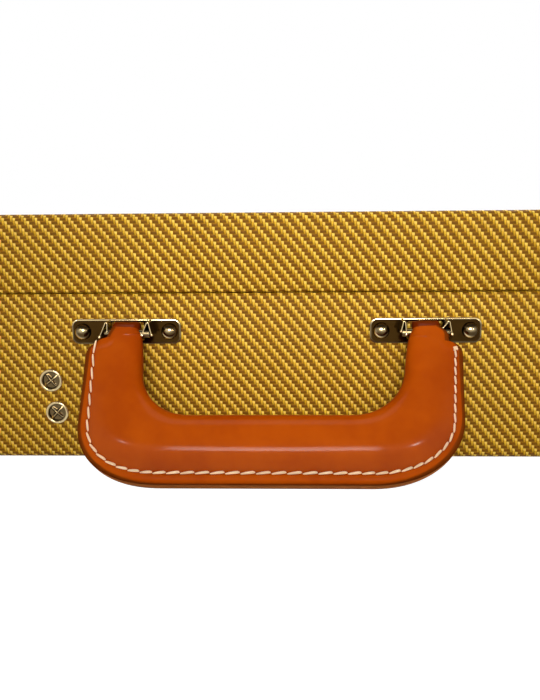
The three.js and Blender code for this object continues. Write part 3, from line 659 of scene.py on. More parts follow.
def loopStations():  # over the bar
    loop = grip["loopRadius"]
    made = []
    for angle in arc(8, 0.0, acos(-grip["skinTop"] / loop)):
        half = max(loop * sin(angle), grip["loopLeast"])
        pinch = grip["loopPinch"] * (1 - sin(angle))
        drop = -loop * cos(angle)
        made.append(station([strapInner + pinch, drop], [strapOuter - pinch, drop], half, half, 0))
    return made


def legStations(end, innerEnd, innerEndDrop):  # down one leg
    rise = grip["skinTop"]
    inset = grip["stitchInset"]
    topHalf = grip["loopRadius"] + grip["skinStep"]
    rounded = np.linspace(0, 1, 12) ** 1.7 * end["round"] + end["drop"]
    drops = [rise + 0.12 * mm, rise + 0.45 * mm, -0.3 * mm,
             *np.linspace(0.6 * mm, end["drop"], 7)[:-1], *rounded,
             *np.linspace(end["drop"] + end["round"], legEnd, 14)[1:]]
    made = []
    for drop in drops:
        share = max(0, drop / legEnd)
        lean = end["threadLean"] * max(0, 1 - (drop - end["threadStart"]) / grip["leanReach"]) ** 2
        strap = topHalf + (grip["strapHalf"] - topHalf) * easeIn(drop / grip["strapEase"])
        if drop < rise + grip["skinSink"]:
            strap = topHalf - grip["skinSink"]
        made.append(station(
            [innerEnd + grip["legFlare"] * (1 - sqrt(share)), drop * innerEndDrop / legEnd],
            [legOuter(drop, end), drop],
            strap + (grip["legHalf"] - grip["strapHalf"]) * share ** 1.3,
            strap + (grip["lipHalf"] - grip["strapHalf"]) * share,
            float(easeIn((drop - end["drop"]) / grip["stitchFade"])),
            [lipLine(drop, end), drop],
            end["threadInset"] + lean + (inset - end["threadInset"]) * share ** 2,
        ))
    return made


def gripStations(end):
    # Half of the handle, from the top of its loop to the middle of the grip
    innerEndDrop = grip["innerDrop"] - grip["innerRoundDepth"]
    innerEnd = strapInner - grip["legFlare"]
    inset = grip["stitchInset"]
    made = loopStations() + legStations(end, innerEnd, innerEndDrop)
    cornerX = innerEnd - grip["innerRoundLength"]
    outerX = grip["outerHalf"] - grip["outerRoundLength"]
    cornerSteps = 30
    fuller = 2 / end["fullness"]
    for step in range(1, cornerSteps + 1):
        share = step / cornerSteps
        across, down = cos(share * quarter), sin(share * quarter)
        across = across if step < cornerSteps else 0.0
        made.append(station(
            [cornerX + grip["innerRoundLength"] * across,
             innerEndDrop + grip["innerRoundDepth"] * down],
            [outerX + grip["outerRoundLength"] * across ** fuller,
             legEnd + grip["outerRoundDepth"] * down ** fuller],
            grip["legHalf"] + (grip["gripHalf"] - grip["legHalf"]) * easeIn(share),
            grip["lipHalf"], 1, None, inset,
        ))
    for share in np.linspace(1, 0, 9)[1:]:
        made.append(station([cornerX * share, grip["innerDrop"]],
                            [outerX * share, grip["outerDrop"]],
                            grip["gripHalf"], grip["lipHalf"], 1, None, inset))
    return made


def mirroredStation(one):
    flip = np.array([-1, 1])
    return {**one, **{key: one[key] * flip for key in ("inner", "outer", "lipPlace")}}


def fromEdge(places, edge):  # each place's distance to a line of points
    start, step = edge[:-1], np.diff(edge, axis=0)
    away = places[:, None, :] - start[None]
    share = np.clip((away * step).sum(2) / (step ** 2).sum(1), 0, 1)
    return np.linalg.norm(away - share[..., None] * step, axis=2).min(axis=1)


def columnShares():
    # Where a section has points: from the fold, then from the outer edge, as shares and distances
    fold = [1 - cos(angle) for angle in arc(12)]
    slope = list(np.linspace(0, 1, 15)[1:-1])
    rimShares = (1.32, 1.18, 1.08, 1, 0.92, 0.82, 0.7, 0.56, 0.44)
    return fold, slope, [share * grip["stitchInset"] for share in rimShares]


def gripSections(stations, route):
    # Rows of (across, drop, out, paint, valley, rim share), one for each station
    fold, slope, rim = columnShares()
    edge = np.array([one["outer"] for one in stations if not one["loop"]])
    roundness = grip["edgeRound"]
    inset = grip["stitchInset"]
    bulgeStart = roundness * 0.6
    sections = []
    for one in stations:
        line = one["outer"] - one["inner"]
        width = float(np.linalg.norm(line))
        line = line / width
        crown = crownShare * (width - inset)
        start = width - rim[0]
        reaches = [crown * share for share in fold]
        reaches += [crown + (start - crown) * share for share in slope]
        reaches = np.array(reaches + [width - reach for reach in rim])
        places = one["inner"] + line * reaches[:, None]
        away = width - reaches if one["loop"] else fromEdge(places, edge)
        foldShape = (1 - (1 - np.clip(reaches / crown, 0, 1)) ** 2.5) ** 0.4
        rise = np.clip((away - inset) / (width - crown - inset), 0, 1)
        slopeShape = one["lip"] + (one["swell"] - one["lip"]) * (1 - (1 - rise) ** 2.4) ** 1.3
        groove = np.exp(-(fromEdge(places, route[:, :2]) / grip["grooveWidth"]) ** 2)
        bulge = np.sin(np.clip((away - bulgeStart) / (inset - bulgeStart), 0, 1) * 2 * quarter)
        half = foldShape * slopeShape - grip["groove"] * groove
        half = half + grip["rimBulge"] * bulge * one["stitched"] * (away < inset)
        if one["loop"]:
            half = np.minimum(half, one["swell"])
        painted = grip["paintReach"] * (1 - float(easeIn((abs(line[1]) - 0.72) / 0.26)))
        painted = painted + grip["paintLeast"]
        isOpen = 1 - one["loop"]

        def paintAt(distance):
            return easeIn((painted - distance) / grip["paintFade"] + 0.5) * isOpen

        nearRim = np.maximum(1 - np.clip(away / (inset * 0.8), 0, 1),
                             1 - np.clip(reaches / (crown * 0.6), 0, 1))
        columns = zip(places, half, paintAt(width - reaches), groove, nearRim)
        rows = [(*place, *values) for place, *values in columns]
        corner = half[-1]
        for angle in arc(6):  # round the front edge
            inward = roundness * (1 - sin(angle))
            out = corner - roundness * (1 - cos(angle))
            rows.append((*(one["outer"] - line * inward), out, paintAt(inward), 0, 1))
        flat = max(corner - roundness, 0)
        for share, proud in ((0.66, 0.1), (0.33, 0.12), (0.1, 0.04), (0, -0.18)):
            place = one["outer"] + line * proud * mm * one["stitched"]
            rows.append((*place, flat * share, 2 * isOpen, 0, 1))
        rows += [(x, y, -out, *marks) for x, y, out, *marks in rows[-2:0:-1]]
        sections.append(rows)
    return sections


def leatherPiece():
    right = gripStations(shoulders[1])
    left = [mirroredStation(one) for one in gripStations(shoulders[-1])]
    whole = right + left[-2::-1]
    route = stitchRoute(whole)
    sections = gripSections(whole, route)
    count = len(sections[0])
    flat = np.array(sections).reshape(-1, 6)
    faces = loopFaces(len(sections), count, flip=True)
    faces.append(list(range(count)))
    faces.append(list(range((len(sections) - 1) * count, len(sections) * count))[::-1])
    marks = {
        "edgePaint": flat[:, 3],
        "stitchGroove": flat[:, 4],
        "rimShare": flat[:, 5],
        "loopShade": np.repeat([one["loop"] for one in whole], count),
    }
    piece = newPiece("handle_leather_skin", hangHandle(flat[:, :3]), faces, "leather", "handle",
                     ["handle_leather"], marks=marks, sharp=50)
    return piece, route


def applyModifiers(piece):
    graph = bpy.context.evaluated_depsgraph_get()
    made = bpy.data.meshes.new_from_object(
        piece.evaluated_get(graph), preserve_all_data_layers=True, depsgraph=graph)
    piece.modifiers.clear()
    piece.data = made


def cutAway(piece, points, faces):
    tool = newObject("cutter", newMesh("cutter", points, faces))
    cut = piece.modifiers.new("cut", "BOOLEAN")
    cut.operation = "DIFFERENCE"
    cut.solver = "EXACT"
    cut.use_hole_tolerant = True
    cut.object = tool
    applyModifiers(piece)
    bpy.data.objects.remove(tool)


def boreLeather(piece):  # the bar's way through both loops
    columns = 32
    radius = grip["barRadius"] + restClearance
    ends = [list(range(columns))[::-1], list(range(columns, 2 * columns))]
    points, faces = [], []
    for middle in (-strapMiddle, strapMiddle):
        faces += shifted([*loopFaces(2, columns), *ends], len(points))
        for side in (middle - grip["strapWidth"], middle + grip["strapWidth"]):
            for cosine, sine in circle(columns):
                points.append((side, wallY - grip["barOut"] + radius * cosine,
                               grip["barHeight"] + radius * sine))
    cutAway(piece, points, faces)


def openShoulders(piece):  # between the two skins, where the raised ears go in
    box = [*loopFaces(2, 4), [3, 2, 1, 0], [4, 5, 6, 7]]
    starts = strapOuter + mouth["start"]
    points, faces = [], []
    for side in (-1, 1):
        faces += shifted(box, len(points))
        for across in sorted((side * starts, side * (starts + mouth["width"]))):
            for drop, out in ((-mouth["above"], -mouth["back"]), (-mouth["above"], mouth["front"]),
                              (mouth["depth"], mouth["front"]), (mouth["depth"], -mouth["back"])):
                points.append((across, drop, out))
    cutAway(piece, hangHandle(points), faces)


stitching = {
    "pitches": (4.2, 4.4, 4.8, 5.6, 6.6, 6.6, 6.4, 5.4, 5.4, 6.4, 6.4),  # in millimetres
    "fill": 1.07,  # the thread's share of a pitch
    "lean": -0.34,
    "half": 0.54 * mm,
    "slant": radians(-7.5),
    "knot": 1.3 * mm,
    "knotRise": 0.3 * mm,
    "knotTurns": (0.5, 2.1),
    "leastGap": 0.7 * mm,  # between two places of the route
}


def stitchRoute(stations):  # places beside the edge, with the lip's half thickness
    sewn = [one for one in stations if one["inset"]]
    edge = np.array([one["lipPlace"] for one in sewn])
    lips = np.array([one["lip"] for one in sewn])
    insets = np.array([one["inset"] for one in sewn])
    inward = acrossLine(edge)
    middle = np.array([0, grip["innerDrop"] * 0.5])
    inward *= np.sign(((middle - edge) * inward).sum(axis=1))[:, None]
    starts = np.where(edge[:, 0] < 0, shoulders[-1]["threadStart"], shoulders[1]["threadStart"])
    route = np.column_stack([edge + inward * insets[:, None], lips])[edge[:, 1] > starts]
    keep = [route[0]]
    for point in route[1:]:
        if np.linalg.norm(point[:2] - keep[-1][:2]) > stitching["leastGap"]:
            keep.append(point)
    return np.array(keep)


def addLens(points, faces, place, line, cross, lip, side, length, half, lean=0.0):
    # One thread: a lens whose ends are sunk in the leather, fuller at one end by its lean
    ringCount, sideCount = 13, 8
    base = len(points)
    for ring in range(ringCount):
        share = ring / (ringCount - 1) * 2 - 1
        body = max(0.1, (1 - abs(share) ** 3) ** 0.5) * (1 + lean * share)
        rise = half * (0.95 - 1.4 * abs(share) ** 4)
        for cosine, sine in circle(sideCount):
            offset = line * share * length / 2 + cross * half * body * cosine
            out = lip - grip["groove"] + rise + half * body * sine
            points.append((place[0] + offset[0], place[1] + offset[1], side * out))
    first = list(range(sideCount))
    end = [(ringCount - 1) * sideCount + step for step in first]
    faces += shifted(loopFaces(ringCount, sideCount, flip=side < 0), base)
    faces += shifted([first[::-side], end[::side]], base)


def stitchPiece(route):
    way = wayAlong(route[:, :2])
    plan = np.linspace(0, way[-1], len(stitching["pitches"]))
    places = [0.0]
    while places[-1] < way[-1]:
        places.append(places[-1] + float(np.interp(places[-1], plan, stitching["pitches"])) * mm)
    places = np.array(places) * way[-1] / places[-1]

    def routeAt(spot):  # across, drop and the lip's half thickness
        return np.array([np.interp(spot, way, route[:, k]) for k in range(3)])

    turn = stitching["slant"]
    points, faces = [], []
    for side in (1, -1):
        for start, end in zip(places[:-1], places[1:]):
            length = (end - start) * stitching["fill"]
            place = routeAt((start + end) / 2)
            along = (routeAt(end) - routeAt(start))[:2]
            along = along / np.linalg.norm(along)
            across = np.array([-along[1], along[0]])
            line = along * cos(turn) + across * sin(turn)
            cross = -along * sin(turn) + across * cos(turn)
            flatness = abs(along[0])  # threads lie fuller along the bottom
            half = stitching["half"] * (0.8 + 0.25 * flatness)
            addLens(points, faces, place[:2], line, cross, place[2], side, length, half,
                    stitching["lean"] * flatness)
    for turn in stitching["knotTurns"]:  # two short threads over the first stitch
        line = np.array([cos(turn), sin(turn)])
        cross = np.array([-line[1], line[0]])
        addLens(points, faces, route[0, :2], line, cross, route[0, 2] + stitching["knotRise"], 1,
                2 * stitching["knot"], stitching["half"] * 1.2)
    newPiece("handle_stitching", hangHandle(points), faces, "thread", "handle")
    return len(places) - 1


leatherSkin, threadRoute = leatherPiece()
boreLeather(leatherSkin)
openShoulders(leatherSkin)
print("handle:", stitchPiece(threadRoute), "stitches a side")


# Turned and pressed metal on the handle side: x along the wall, height up it, out away from it

def wallPiece(name, points, faces, node, paintedHighlight, sharp):  # from (along, up, out)
    along, up, out = np.asarray(points, float).reshape(-1, 3).T
    newPiece(name, np.column_stack([along, wallY - out, up]), faces, "plate", "case_body", [node],
             marks={"paintedHighlight": paintedHighlight}, sharp=sharp)


def turnedShape(profile, x, height, sides=40, wave=None):
    # Rings of (radius, out) round an axis out of the wall; the first and the last close on the axis
    points = [(x, height, profile[0][1])]
    for radius, out in profile[1:-1]:
        for side in range(sides):
            angle = side / sides * 4 * quarter
            lift = wave(radius, angle) if wave else 0
            points.append((x + radius * cos(angle), height + radius * sin(angle), out + lift))
    points.append((x, height, profile[-1][1] + (wave(0, 0) if wave else 0)))
    faces = [(0, 1 + (side + 1) % sides, 1 + side) for side in range(sides)]
    faces += shifted(loopFaces(len(profile) - 2, sides), 1)
    last = len(points) - 1
    start = last - sides
    faces += [(last, start + side, start + (side + 1) % sides) for side in range(sides)]
    return points, faces


domeRivets = inMetres({
    "radius": 3.9,
    "height": 2.9,
    "skirt": 0.35,
    "shank": 8,
    "shankRadius": 1.5,
    "plate": 1.2,
    "spacing": 41.3,
})
domeShine = 0.03


def domeHighlights(points, x, height):
    # Painted highlights above the middle and in a crescent low on the left, dark elsewhere
    places = (np.array(points)[:, :2] - (x, height)) / domeRivets["radius"]
    distance = np.linalg.norm(places, axis=1)
    toward = places @ np.array([cos(3.95), sin(3.95)]) / np.maximum(distance, 0.01)
    crescent = np.exp(-((distance - 0.76) / 0.12) ** 2) * np.clip(toward, 0, 1) ** 2
    crown = np.exp(-((places[:, 0] / 0.42) ** 2 + ((places[:, 1] - 0.22) / 0.2) ** 2))
    return np.minimum(domeShine + crescent * 0.9 + crown * 0.6, 1)


def domeRivet(node, x, height):
    plate = domeRivets["plate"]
    radius = domeRivets["radius"]
    skirt = domeRivets["skirt"]
    shank, shankRadius = domeRivets["shank"], domeRivets["shankRadius"]
    profile = [(0, -shank), (shankRadius, -shank), (shankRadius, plate), (radius * 0.94, plate),
               (radius, plate + skirt * 0.5)]
    for angle in arc(9):
        out = plate + skirt + domeRivets["height"] * sin(angle)
        profile.append((radius * 0.985 * cos(angle), out))
    points, faces = turnedShape(profile, x, height)
    wallPiece(node + "_head", points, faces, node, domeHighlights(points, x, height), 50)


for side, word in ((-1, "left"), (1, "right")):
    for end in (-1, 1):
        which = "inner" if side != end else "outer"
        along = (side * grip["bracketSpacing"] + end * domeRivets["spacing"]) / 2
        domeRivet(f"bracket_{word}_rivet_{which}", along, grip["barHeight"])


studs = inMetres({
    "radius": 5.6,
    "underRim": 0.3,
    "rimHeight": 2.1,
    "rimWidth": 1.6,
    "well": 0.75,
    "crossWidth": 0.62,
    "crossRise": 1.1,
    "shank": 21,
    "shankRadius": 1.5,
})
studPlaces = {  # along the wall, up it, and the turn of the petals
    "box_rivet_upper": (-108.0 * mm, 39.4 * mm, radians(38)),
    "box_rivet_lower": (-105.9 * mm, 23.5 * mm, radians(47)),
}


def fromPetal(angle, turn):  # the angle to the nearest of four petals
    return (angle - turn + quarter / 2) % quarter - quarter / 2


def studHighlights(points, x, height, turn):  # painted highlights on the rim and the petals, in a dark dish
    places = np.array(points)[:, :2] - (x, height)
    distance = np.linalg.norm(places, axis=1)
    aside = distance * np.sin(fromPetal(np.arctan2(places[:, 1], places[:, 0]), turn))
    dish = studs["radius"] - studs["rimWidth"]
    ridge = np.exp(-(aside / (studs["crossWidth"] * 0.7)) ** 2) * (distance < dish * 0.98)
    rim = np.clip((distance - dish) / (studs["rimWidth"] * 0.5), 0, 1)
    return 0.08 + rim * 0.5 + ridge * 0.24


def studRivet(node, x, height, turn):
    radius = studs["radius"]
    roll = studs["rimWidth"] / 2
    dish = radius - studs["rimWidth"]

    def crossRidge(distance, angle):  # four clinched petals that meet in the middle
        if distance > dish:
            return 0
        aside = distance * sin(fromPetal(angle, turn))
        ridge = exp(-(aside / studs["crossWidth"]) ** 2)
        return studs["crossRise"] * (1 - (distance / dish) ** 2) * ridge

    profile = [(0, -studs["shank"]), (studs["shankRadius"], -studs["shank"]),
               (studs["shankRadius"], 0), (radius - studs["underRim"], 0)]
    for angle in arc(10, -0.35, 2 * quarter):
        profile.append((radius - roll + roll * cos(angle),
                        studs["rimHeight"] - roll + roll * sin(angle)))
    profile += [(dish * share, studs["well"]) for share in np.linspace(1, 0, 16)[1:]]
    points, faces = turnedShape(profile, x, height, 64, crossRidge)
    wallPiece(node + "_stud", points, faces, node, studHighlights(points, x, height, turn), 60)


for name, place in studPlaces.items():
    studRivet(name, *place)


bracketPlate = inMetres({
    "length": 52.0,
    "width": 12.0,
    "corner": 3.4,
    "thick": 1.2,
    "windowLength": 17.4,
    "windowWidth": 8.8,
    "windowCorner": 1.2,
    "windowRound": 0.3,
    "earTop": 5.3,  # above the bar's axis
    "earReach": 9.2,
    "earWall": 0.62,
    "earRound": 0.5,
    "earRoot": 0.3,  # out of the wall, inside the plate
    "footRadius": 0.85,
    "barOverlap": 0.8,  # past the tops of the ears
})
# The plate's rim, with a painted highlight: inset, height and shine, from the wall to the flat face
plateRim = [(0, 0, 0), (0, 0.7 * mm, 0.4), (0.05 * mm, 0.92 * mm, 1), (0.16 * mm, 1.03 * mm, 1),
            (0.62 * mm, 1.19 * mm, 1), (0.74 * mm, 1.2 * mm, 0)]
# The pressed ears of each bracket in millimetres: the top's place along it, and each leg's place,
# its foot above the bar and its shine
earPlaces = {
    -1: [(-7.6, [(-10.8, -1.4, 1.0), (-7.2, 1.0, 0.5)]),
         (11.7, [(8.8, -0.5, 1.0), (13.4, -0.5, 0.7)])],
    1: [(-11.0, [(-12.4, 0.8, 0.6), (-9.9, -0.6, 1.0)]),
        (9.1, [(6.3, 2.0, 0.4), (10.7, -0.6, 1.0)])],
}


def earPath(top, legs):
    # The middle line of an ear from the front: up one leg, round its top and down the other
    bend = bracketPlate["earRound"]
    crest = bracketPlate["earTop"] - bend
    feet = [(x * mm, height * mm) for x, height, _ in legs]
    over = [(top + bend * cos(angle), crest + bend * sin(angle))
            for angle in arc(8, 2 * quarter, 0.0)]
    return np.array([feet[0], *over, feet[1]])


def bracketPiece(node, side):
    size = bracketPlate
    thick, bevel, reach = size["thick"], size["windowRound"], size["earReach"]
    outer = roundPlan(size["length"] / 2, size["width"] / 2, size["corner"], 8)
    window = roundPlan(size["windowLength"] / 2, size["windowWidth"] / 2, size["windowCorner"], 8)
    outerRows = [row[:2] for row in plateRim]
    windowRows = [(-bevel * (1 - cos(angle)), thick - bevel + bevel * sin(angle))
                  for angle in arc(4, quarter, 0.0)] + [(0, 0)]
    columns = len(outer[0])
    faces = loopFaces(len(outerRows) + len(windowRows), columns, closeRows=True)
    points = [*rings(outer, outerRows), *rings(window, windowRows)]
    # painted highlight on the rim, strongest along the top, where light falls from above
    worn = 0.1 + 0.9 * np.clip(outer[1][:, 1] * 0.9 + 0.1, 0, 1)
    paintedHighlight = [shine * share for _, _, shine in plateRim for share in worn]
    # a faint painted highlight on the window's bevel
    windowShine = [0.0, *[0.15] * (len(windowRows) - 2), 0.0]
    paintedHighlight += [shine for shine in windowShine for _ in range(columns)]

    def addLoops(rows, shine, flip=False):  # closed loops, the first and the last of them capped
        base = len(points)
        wide = len(rows[0])
        for row, bright in zip(rows, shine):
            points.extend(row)
            paintedHighlight.extend([bright] * wide)
        faces.extend(shifted(loopFaces(len(rows), wide, flip=flip), base))
        for start, turnOver in ((base, not flip), (base + (len(rows) - 1) * wide, flip)):
            end = start + wide - 1
            for step in range(wide // 2 - 1):
                face = (start + step, start + step + 1, end - 1 - step, end - step)
                faces.append(face[::-1] if turnOver else face)

    for top, legs in earPlaces[side]:  # bent strips, open below, their front edges bright as a painted highlight
        path = earPath(top * mm, legs)
        aside = acrossLine(path)
        outs = ((size["earRoot"], 1), (reach - 0.4 * mm, 1), (reach - 0.1 * mm, 0.78), (reach, 0.4))
        rows = []
        for out, thin in outs:
            half = size["earWall"] / 2 * thin
            row = [(*(place + way * half), out) for place, way in zip(path, aside)]
            row += [(*(place - way * half), out) for place, way in zip(path[::-1], aside[::-1])]
            rows.append(row)
        addLoops(rows, (0, 0.15, 0.6, 0.6), flip=True)
        for x, height, bright in legs:  # a foot at the end of each leg
            footRadius = size["footRadius"] * (0.5 + 0.5 * bright)
            rows = []
            for angle in arc(8, -quarter, quarter):
                radius = footRadius * cos(angle) + 0.01 * mm
                out = reach - footRadius * (0.8 - sin(angle))
                rows.append([(x * mm + radius * cosine, height * mm + radius * sine, out)
                             for cosine, sine in circle(14)])
            addLoops(rows, [bright] * len(rows))
    (leftTop, _), (rightTop, _) = earPlaces[side]
    overlap, radius = size["barOverlap"], grip["barRadius"]
    addLoops([[(along, radius * cosine, grip["barOut"] + radius * sine)
               for cosine, sine in circle(24)]
              for along in (leftTop * mm - overlap, rightTop * mm + overlap)], (0.2, 0.2))
    centre = np.array([side * grip["bracketSpacing"] / 2, grip["barHeight"], 0])
    wallPiece(node + "_plate", np.array(points) + centre, faces, node, paintedHighlight, 45)


bracketPiece("bracket_left", -1)
bracketPiece("bracket_right", 1)
print("brackets, rivets and studs")


# Hardware, frame and boards: the CAD's shapes with their edges rounded

roundings = {  # radius, and the angle from which an edge is rounded
    "metal": (0.28 * mm, 28),
    "wood": (0.5 * mm, 40),
    "board": (1.1 * mm, 40),
    "rubber": (0.35 * mm, 34),
}


def cleanCopy(node):  # a CAD node's mesh with whole faces instead of triangles
    work = bmesh.new()
    work.from_mesh(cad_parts[node].data)
    bmesh.ops.remove_doubles(work, verts=work.verts, dist=0.004 * mm)
    bmesh.ops.dissolve_limit(work, angle_limit=radians(1.5), verts=work.verts, edges=work.edges)
    return work


def roundedPiece(node, finish, body, kind):
    radius, least = roundings[kind]
    work = cleanCopy(node)
    edges = [edge for edge in work.edges
             if edge.is_manifold and edge.calc_face_angle(0) > radians(least)]
    bmesh.ops.bevel(work, geom=edges, offset=radius, offset_type="OFFSET", segments=2, profile=0.5,
                    affect="EDGES", clamp_overlap=True)
    work.verts.index_update()
    points = [vert.co.copy() for vert in work.verts]
    faces = [[vert.index for vert in face.verts] for face in work.faces]
    work.free()
    newPiece(node + "_shape", points, faces, finish, body, [node], sharp=35)


for name in ("body_rim", "body_panel", "body_valance"):
    roundedPiece(name, "wood", "case_body", "wood")
for name in ("lid_rim", "lid_panel"):
    roundedPiece(name, "wood", "lid", "wood")
for name in ("accessory_box", "box_lid"):
    roundedPiece(name, "plush", "case_body", "board")
roundedPiece("box_lid_tab", "leather", "case_body", "metal")
for latch in ("left_outer", "left_inner", "right_inner", "right_outer"):
    roundedPiece(latch + "_latch_base", "nickel", "case_body", "metal")
    roundedPiece(latch + "_latch_lever", "nickel", latch + "_lever", "metal")
    roundedPiece(latch + "_latch_pin", "steel", latch + "_lever", "metal")
    roundedPiece(latch + "_latch_link", "nickel", latch + "_link", "metal")
    roundedPiece(latch + "_latch_catch", "nickel", "lid", "metal")
for hinge in ("left", "middle", "right"):
    roundedPiece(hinge + "_hinge_body_leaf", "nickel", "case_body", "metal")
    roundedPiece(hinge + "_hinge_lid_leaf", "nickel", "lid", "metal")
    roundedPiece(hinge + "_hinge_pin", "steel", "case_body", "metal")
for end in ("left", "right"):
    roundedPiece("body_foot_" + end, "rubber", "case_body", "rubber")
    roundedPiece("lid_foot_" + end, "rubber", "lid", "rubber")
roundedPiece("handle_core", "steel", "handle", "metal")
print("hardware, frame and boards")


# Plush over foam: bed, neck rest and the lid's lining, blown up a little by a cloth simulation

padding = {
    "start": 2.2 * mm,  # how much smaller the covers start
    "frames": 20,
    "quickShare": 0.8,  # of the start, for the plain swelling
}
clothSettings = {
    "quality": 4,
    "mass": 0.3,
    "tension_stiffness": 18,
    "compression_stiffness": 18,
    "bending_stiffness": 0.8,
    "use_pressure": True,
    "uniform_pressure_force": 4.0,
}
pads = {
    "bed_pad": {"body": "case_body", "cap": 4.5 * mm, "voxel": 6 * mm, "fill": 0.8},
    "neck_rest": {"body": "case_body", "cap": 3.0 * mm, "voxel": 4 * mm, "fill": 0.85},
    "lid_pad": {"body": "lid", "cap": 4.5 * mm, "voxel": 6 * mm, "fill": 0.7},
}


def meshValues(items, key, width=3, kind=np.float32):
    values = np.empty(len(items) * width, kind)
    items.foreach_get(key, values)
    return values.reshape(-1, width)


def setPlaces(data, places):
    data.vertices.foreach_set("co", np.ascontiguousarray(places, np.float32).ravel())
    data.update()


def eased(data, passes):  # the mean of each point's neighbours, several times
    ends = meshValues(data.edges, "vertices", 2, np.int32)
    places = meshValues(data.vertices, "co").astype(float)
    count = np.bincount(ends.ravel(), minlength=len(places))[:, None]
    for _ in range(passes):
        total = np.zeros_like(places)
        np.add.at(total, ends[:, 0], places[ends[:, 1]])
        np.add.at(total, ends[:, 1], places[ends[:, 0]])
        places += (total / np.maximum(count, 1) - places) * 0.5
    setPlaces(data, places)


def blownUp(piece):  # the places that the cloth reaches
    scene = bpy.context.scene
    cloth = piece.modifiers.new("plush", "CLOTH")
    for key, value in clothSettings.items():
        setattr(cloth.settings, key, value)
    cloth.settings.effector_weights.gravity = 0
    cloth.point_cache.frame_start = 1
    cloth.point_cache.frame_end = padding["frames"]
    for step in range(1, padding["frames"] + 1):
        scene.frame_set(step)
    made = piece.evaluated_get(bpy.context.evaluated_depsgraph_get())
    reached = meshValues(made.data.vertices, "co").astype(float)
    piece.modifiers.remove(cloth)
    scene.frame_set(1)
    return reached


def padPiece(node, pad):
    low, high = (np.array(corner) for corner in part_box(node))
    work = cleanCopy(node)
    data = bpy.data.meshes.new(node + "_cover")
    work.to_mesh(data)
    work.free()
    piece = newObject(node + "_cover", data)
    remesh = piece.modifiers.new("remesh", "REMESH")
    remesh.mode = "VOXEL"
    remesh.voxel_size = pad["voxel"]
    applyModifiers(piece)
    eased(piece.data, 2)
    inward = meshValues(piece.data.vertices, "normal") * padding["start"]
    start = meshValues(piece.data.vertices, "co") - inward
    setPlaces(piece.data, start)
    reached = blownUp(piece)
    move = reached - start
    length = np.linalg.norm(move, axis=1)[:, None]
    move *= np.minimum(1, pad["cap"] / np.maximum(length, 1e-9))
    setPlaces(piece.data, np.clip(start + move, low, high))
    eased(piece.data, 1)
    finer = piece.modifiers.new("finer", "SUBSURF")
    finer.levels = 1
    applyModifiers(piece)
    piece.data.polygons.foreach_set("use_smooth", [True] * len(piece.data.polygons))
    piece.data.materials.clear()
    piece.data.materials.append(finishes["plush"])
    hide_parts(node)
    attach(piece, pad["body"])
    farthest = round(float(length.max()) / mm, 1)
    print("padded:", node, len(piece.data.polygons), "faces, moved", farthest, "mm")


for name, pad in pads.items():
    padPiece(name, pad)


# Floor, surroundings, lamps and camera

studio = {
    "floorHalf": 9.0,
    "floorColour": (0.3, 0.297, 0.29, 1),
    "floorGlow": 0.9,
    "worldLight": 0.28,
    "worldTint": (1.0, 0.965, 0.9, 1),
    "overhead": 0.28,
}


def seenDirectly(graph):  # camera, mirror and glass rays
    path = graph.add("LightPath", out="Is Camera Ray")
    return (path + path.other("Is Glossy Ray") + path.other("Is Transmission Ray")).atMost(1)


def floorPiece():
    graph = newFinish("paleFloor")
    cloth = graph.add("BsdfDiffuse", {"Color": studio["floorColour"], "Roughness": 0.4})
    glow = graph.add("Emission", {"Strength": seenDirectly(graph) * studio["floorGlow"]})
    graph.add("OutputMaterial", {0: graph.add("AddShader", {0: cloth, 1: glow})})
    half = studio["floorHalf"]
    corners = [(-half, -half, 0), (half, -half, 0), (half, half, 0), (-half, half, 0)]
    data = newMesh("floor", corners, [(0, 1, 2, 3)])
    data.materials.append(graph.material)
    floor = newObject("floor", data)


def paleWorld():
    world = bpy.data.worlds.new("studio")
    bpy.context.scene.world = world
    world.use_nodes = True
    graph = Graph(world.node_tree)
    seen = seenDirectly(graph)
    height = graph.split(graph.add("TexCoord", out="Generated")).other("Z")
    band = 1 - height.between(0.42, 0.72)
    backdrop = band * (1 - studio["overhead"]) + studio["overhead"]
    strength = seen * backdrop + (1 - seen) * studio["worldLight"]
    colour = graph.mix(seen * band, studio["worldTint"], (1, 1, 1, 1))
    light = graph.add("Background", {"Color": colour, "Strength": strength})
    graph.add("OutputWorld", {0: light})


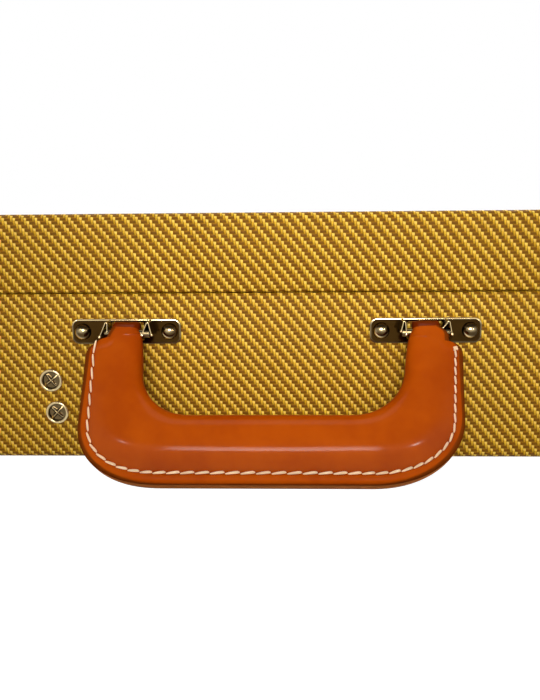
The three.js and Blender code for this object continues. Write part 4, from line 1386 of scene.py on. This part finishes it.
lamps = {
    "front": {"place": (0.0, -0.78, 0.27), "aim": (0.01, -0.2, 0.1), "size": (0.34, 0.2),
              "power": 0.36, "spread": 50},
    "left": {"place": (-0.62, -0.95, 0.52), "aim": (-0.05, -0.19, 0.05), "size": (0.04, 0.04),
             "power": 0.65},
    "right": {"place": (0.56, -0.95, 0.3), "aim": (0.0, -0.19, 0.05), "size": (0.05, 0.05),
              "power": 1.05},
    "above": {"place": (0.0, 0.25, 1.7), "aim": (0.0, 0.0, 0.1), "size": (1.6, 0.8), "power": 9.0},
    "back": {"place": (0.5, 1.6, 0.9), "aim": (0.0, 0.1, 0.05), "size": (1.0, 0.5), "power": 11.0},
}
lampTint = (1.0, 0.95, 0.87)


def placeLamps():
    for name, lamp in lamps.items():
        data = bpy.data.lights.new(name, "AREA")
        data.shape = "RECTANGLE"
        data.size, data.size_y = lamp["size"]
        data.energy = lamp["power"]
        data.spread = radians(lamp.get("spread", 180))
        data.color = lampTint
        made = newObject(name, data)
        place = Vector(lamp["place"])
        made.location = place
        made.rotation_mode = "QUATERNION"
        made.rotation_quaternion = (Vector(lamp["aim"]) - place).to_track_quat("-Z", "Y")
        made.visible_camera = False


cameraView = {
    "place": (10.4 * mm, -540 * mm, 117.5 * mm),
    "turn": radians(2.10),  # towards the case's left
    "dip": radians(10.33),
    "roll": radians(-0.55),
    "focalPixels": 749.9,
    "pictureHeight": 700,
    "sensor": 36,
}


def placeCamera():
    turn, dip, roll = cameraView["turn"], cameraView["dip"], cameraView["roll"]
    ahead = Vector((-sin(turn), cos(turn), 0))
    right = Vector((cos(turn), sin(turn), 0))
    up = Vector((0, 0, 1))
    look = ahead * cos(dip) - up * sin(dip)
    top = up * cos(dip) + ahead * sin(dip)
    sideways = right * cos(roll) + top * sin(roll)
    upright = -right * sin(roll) + top * cos(roll)
    data = bpy.data.cameras.new("photographView")
    data.sensor_width = cameraView["sensor"]
    data.lens = cameraView["focalPixels"] * cameraView["sensor"] / cameraView["pictureHeight"]
    data.clip_start = 10 * mm
    camera = newObject("photographView", data)
    turned = Matrix((sideways, upright, -look)).transposed().to_4x4()
    camera.matrix_world = Matrix.Translation(Vector(cameraView["place"])) @ turned
    bpy.context.scene.camera = camera


floorPiece()
paleWorld()
placeLamps()
placeCamera()
bpy.context.scene.view_settings.view_transform = "Standard"
print("studio")
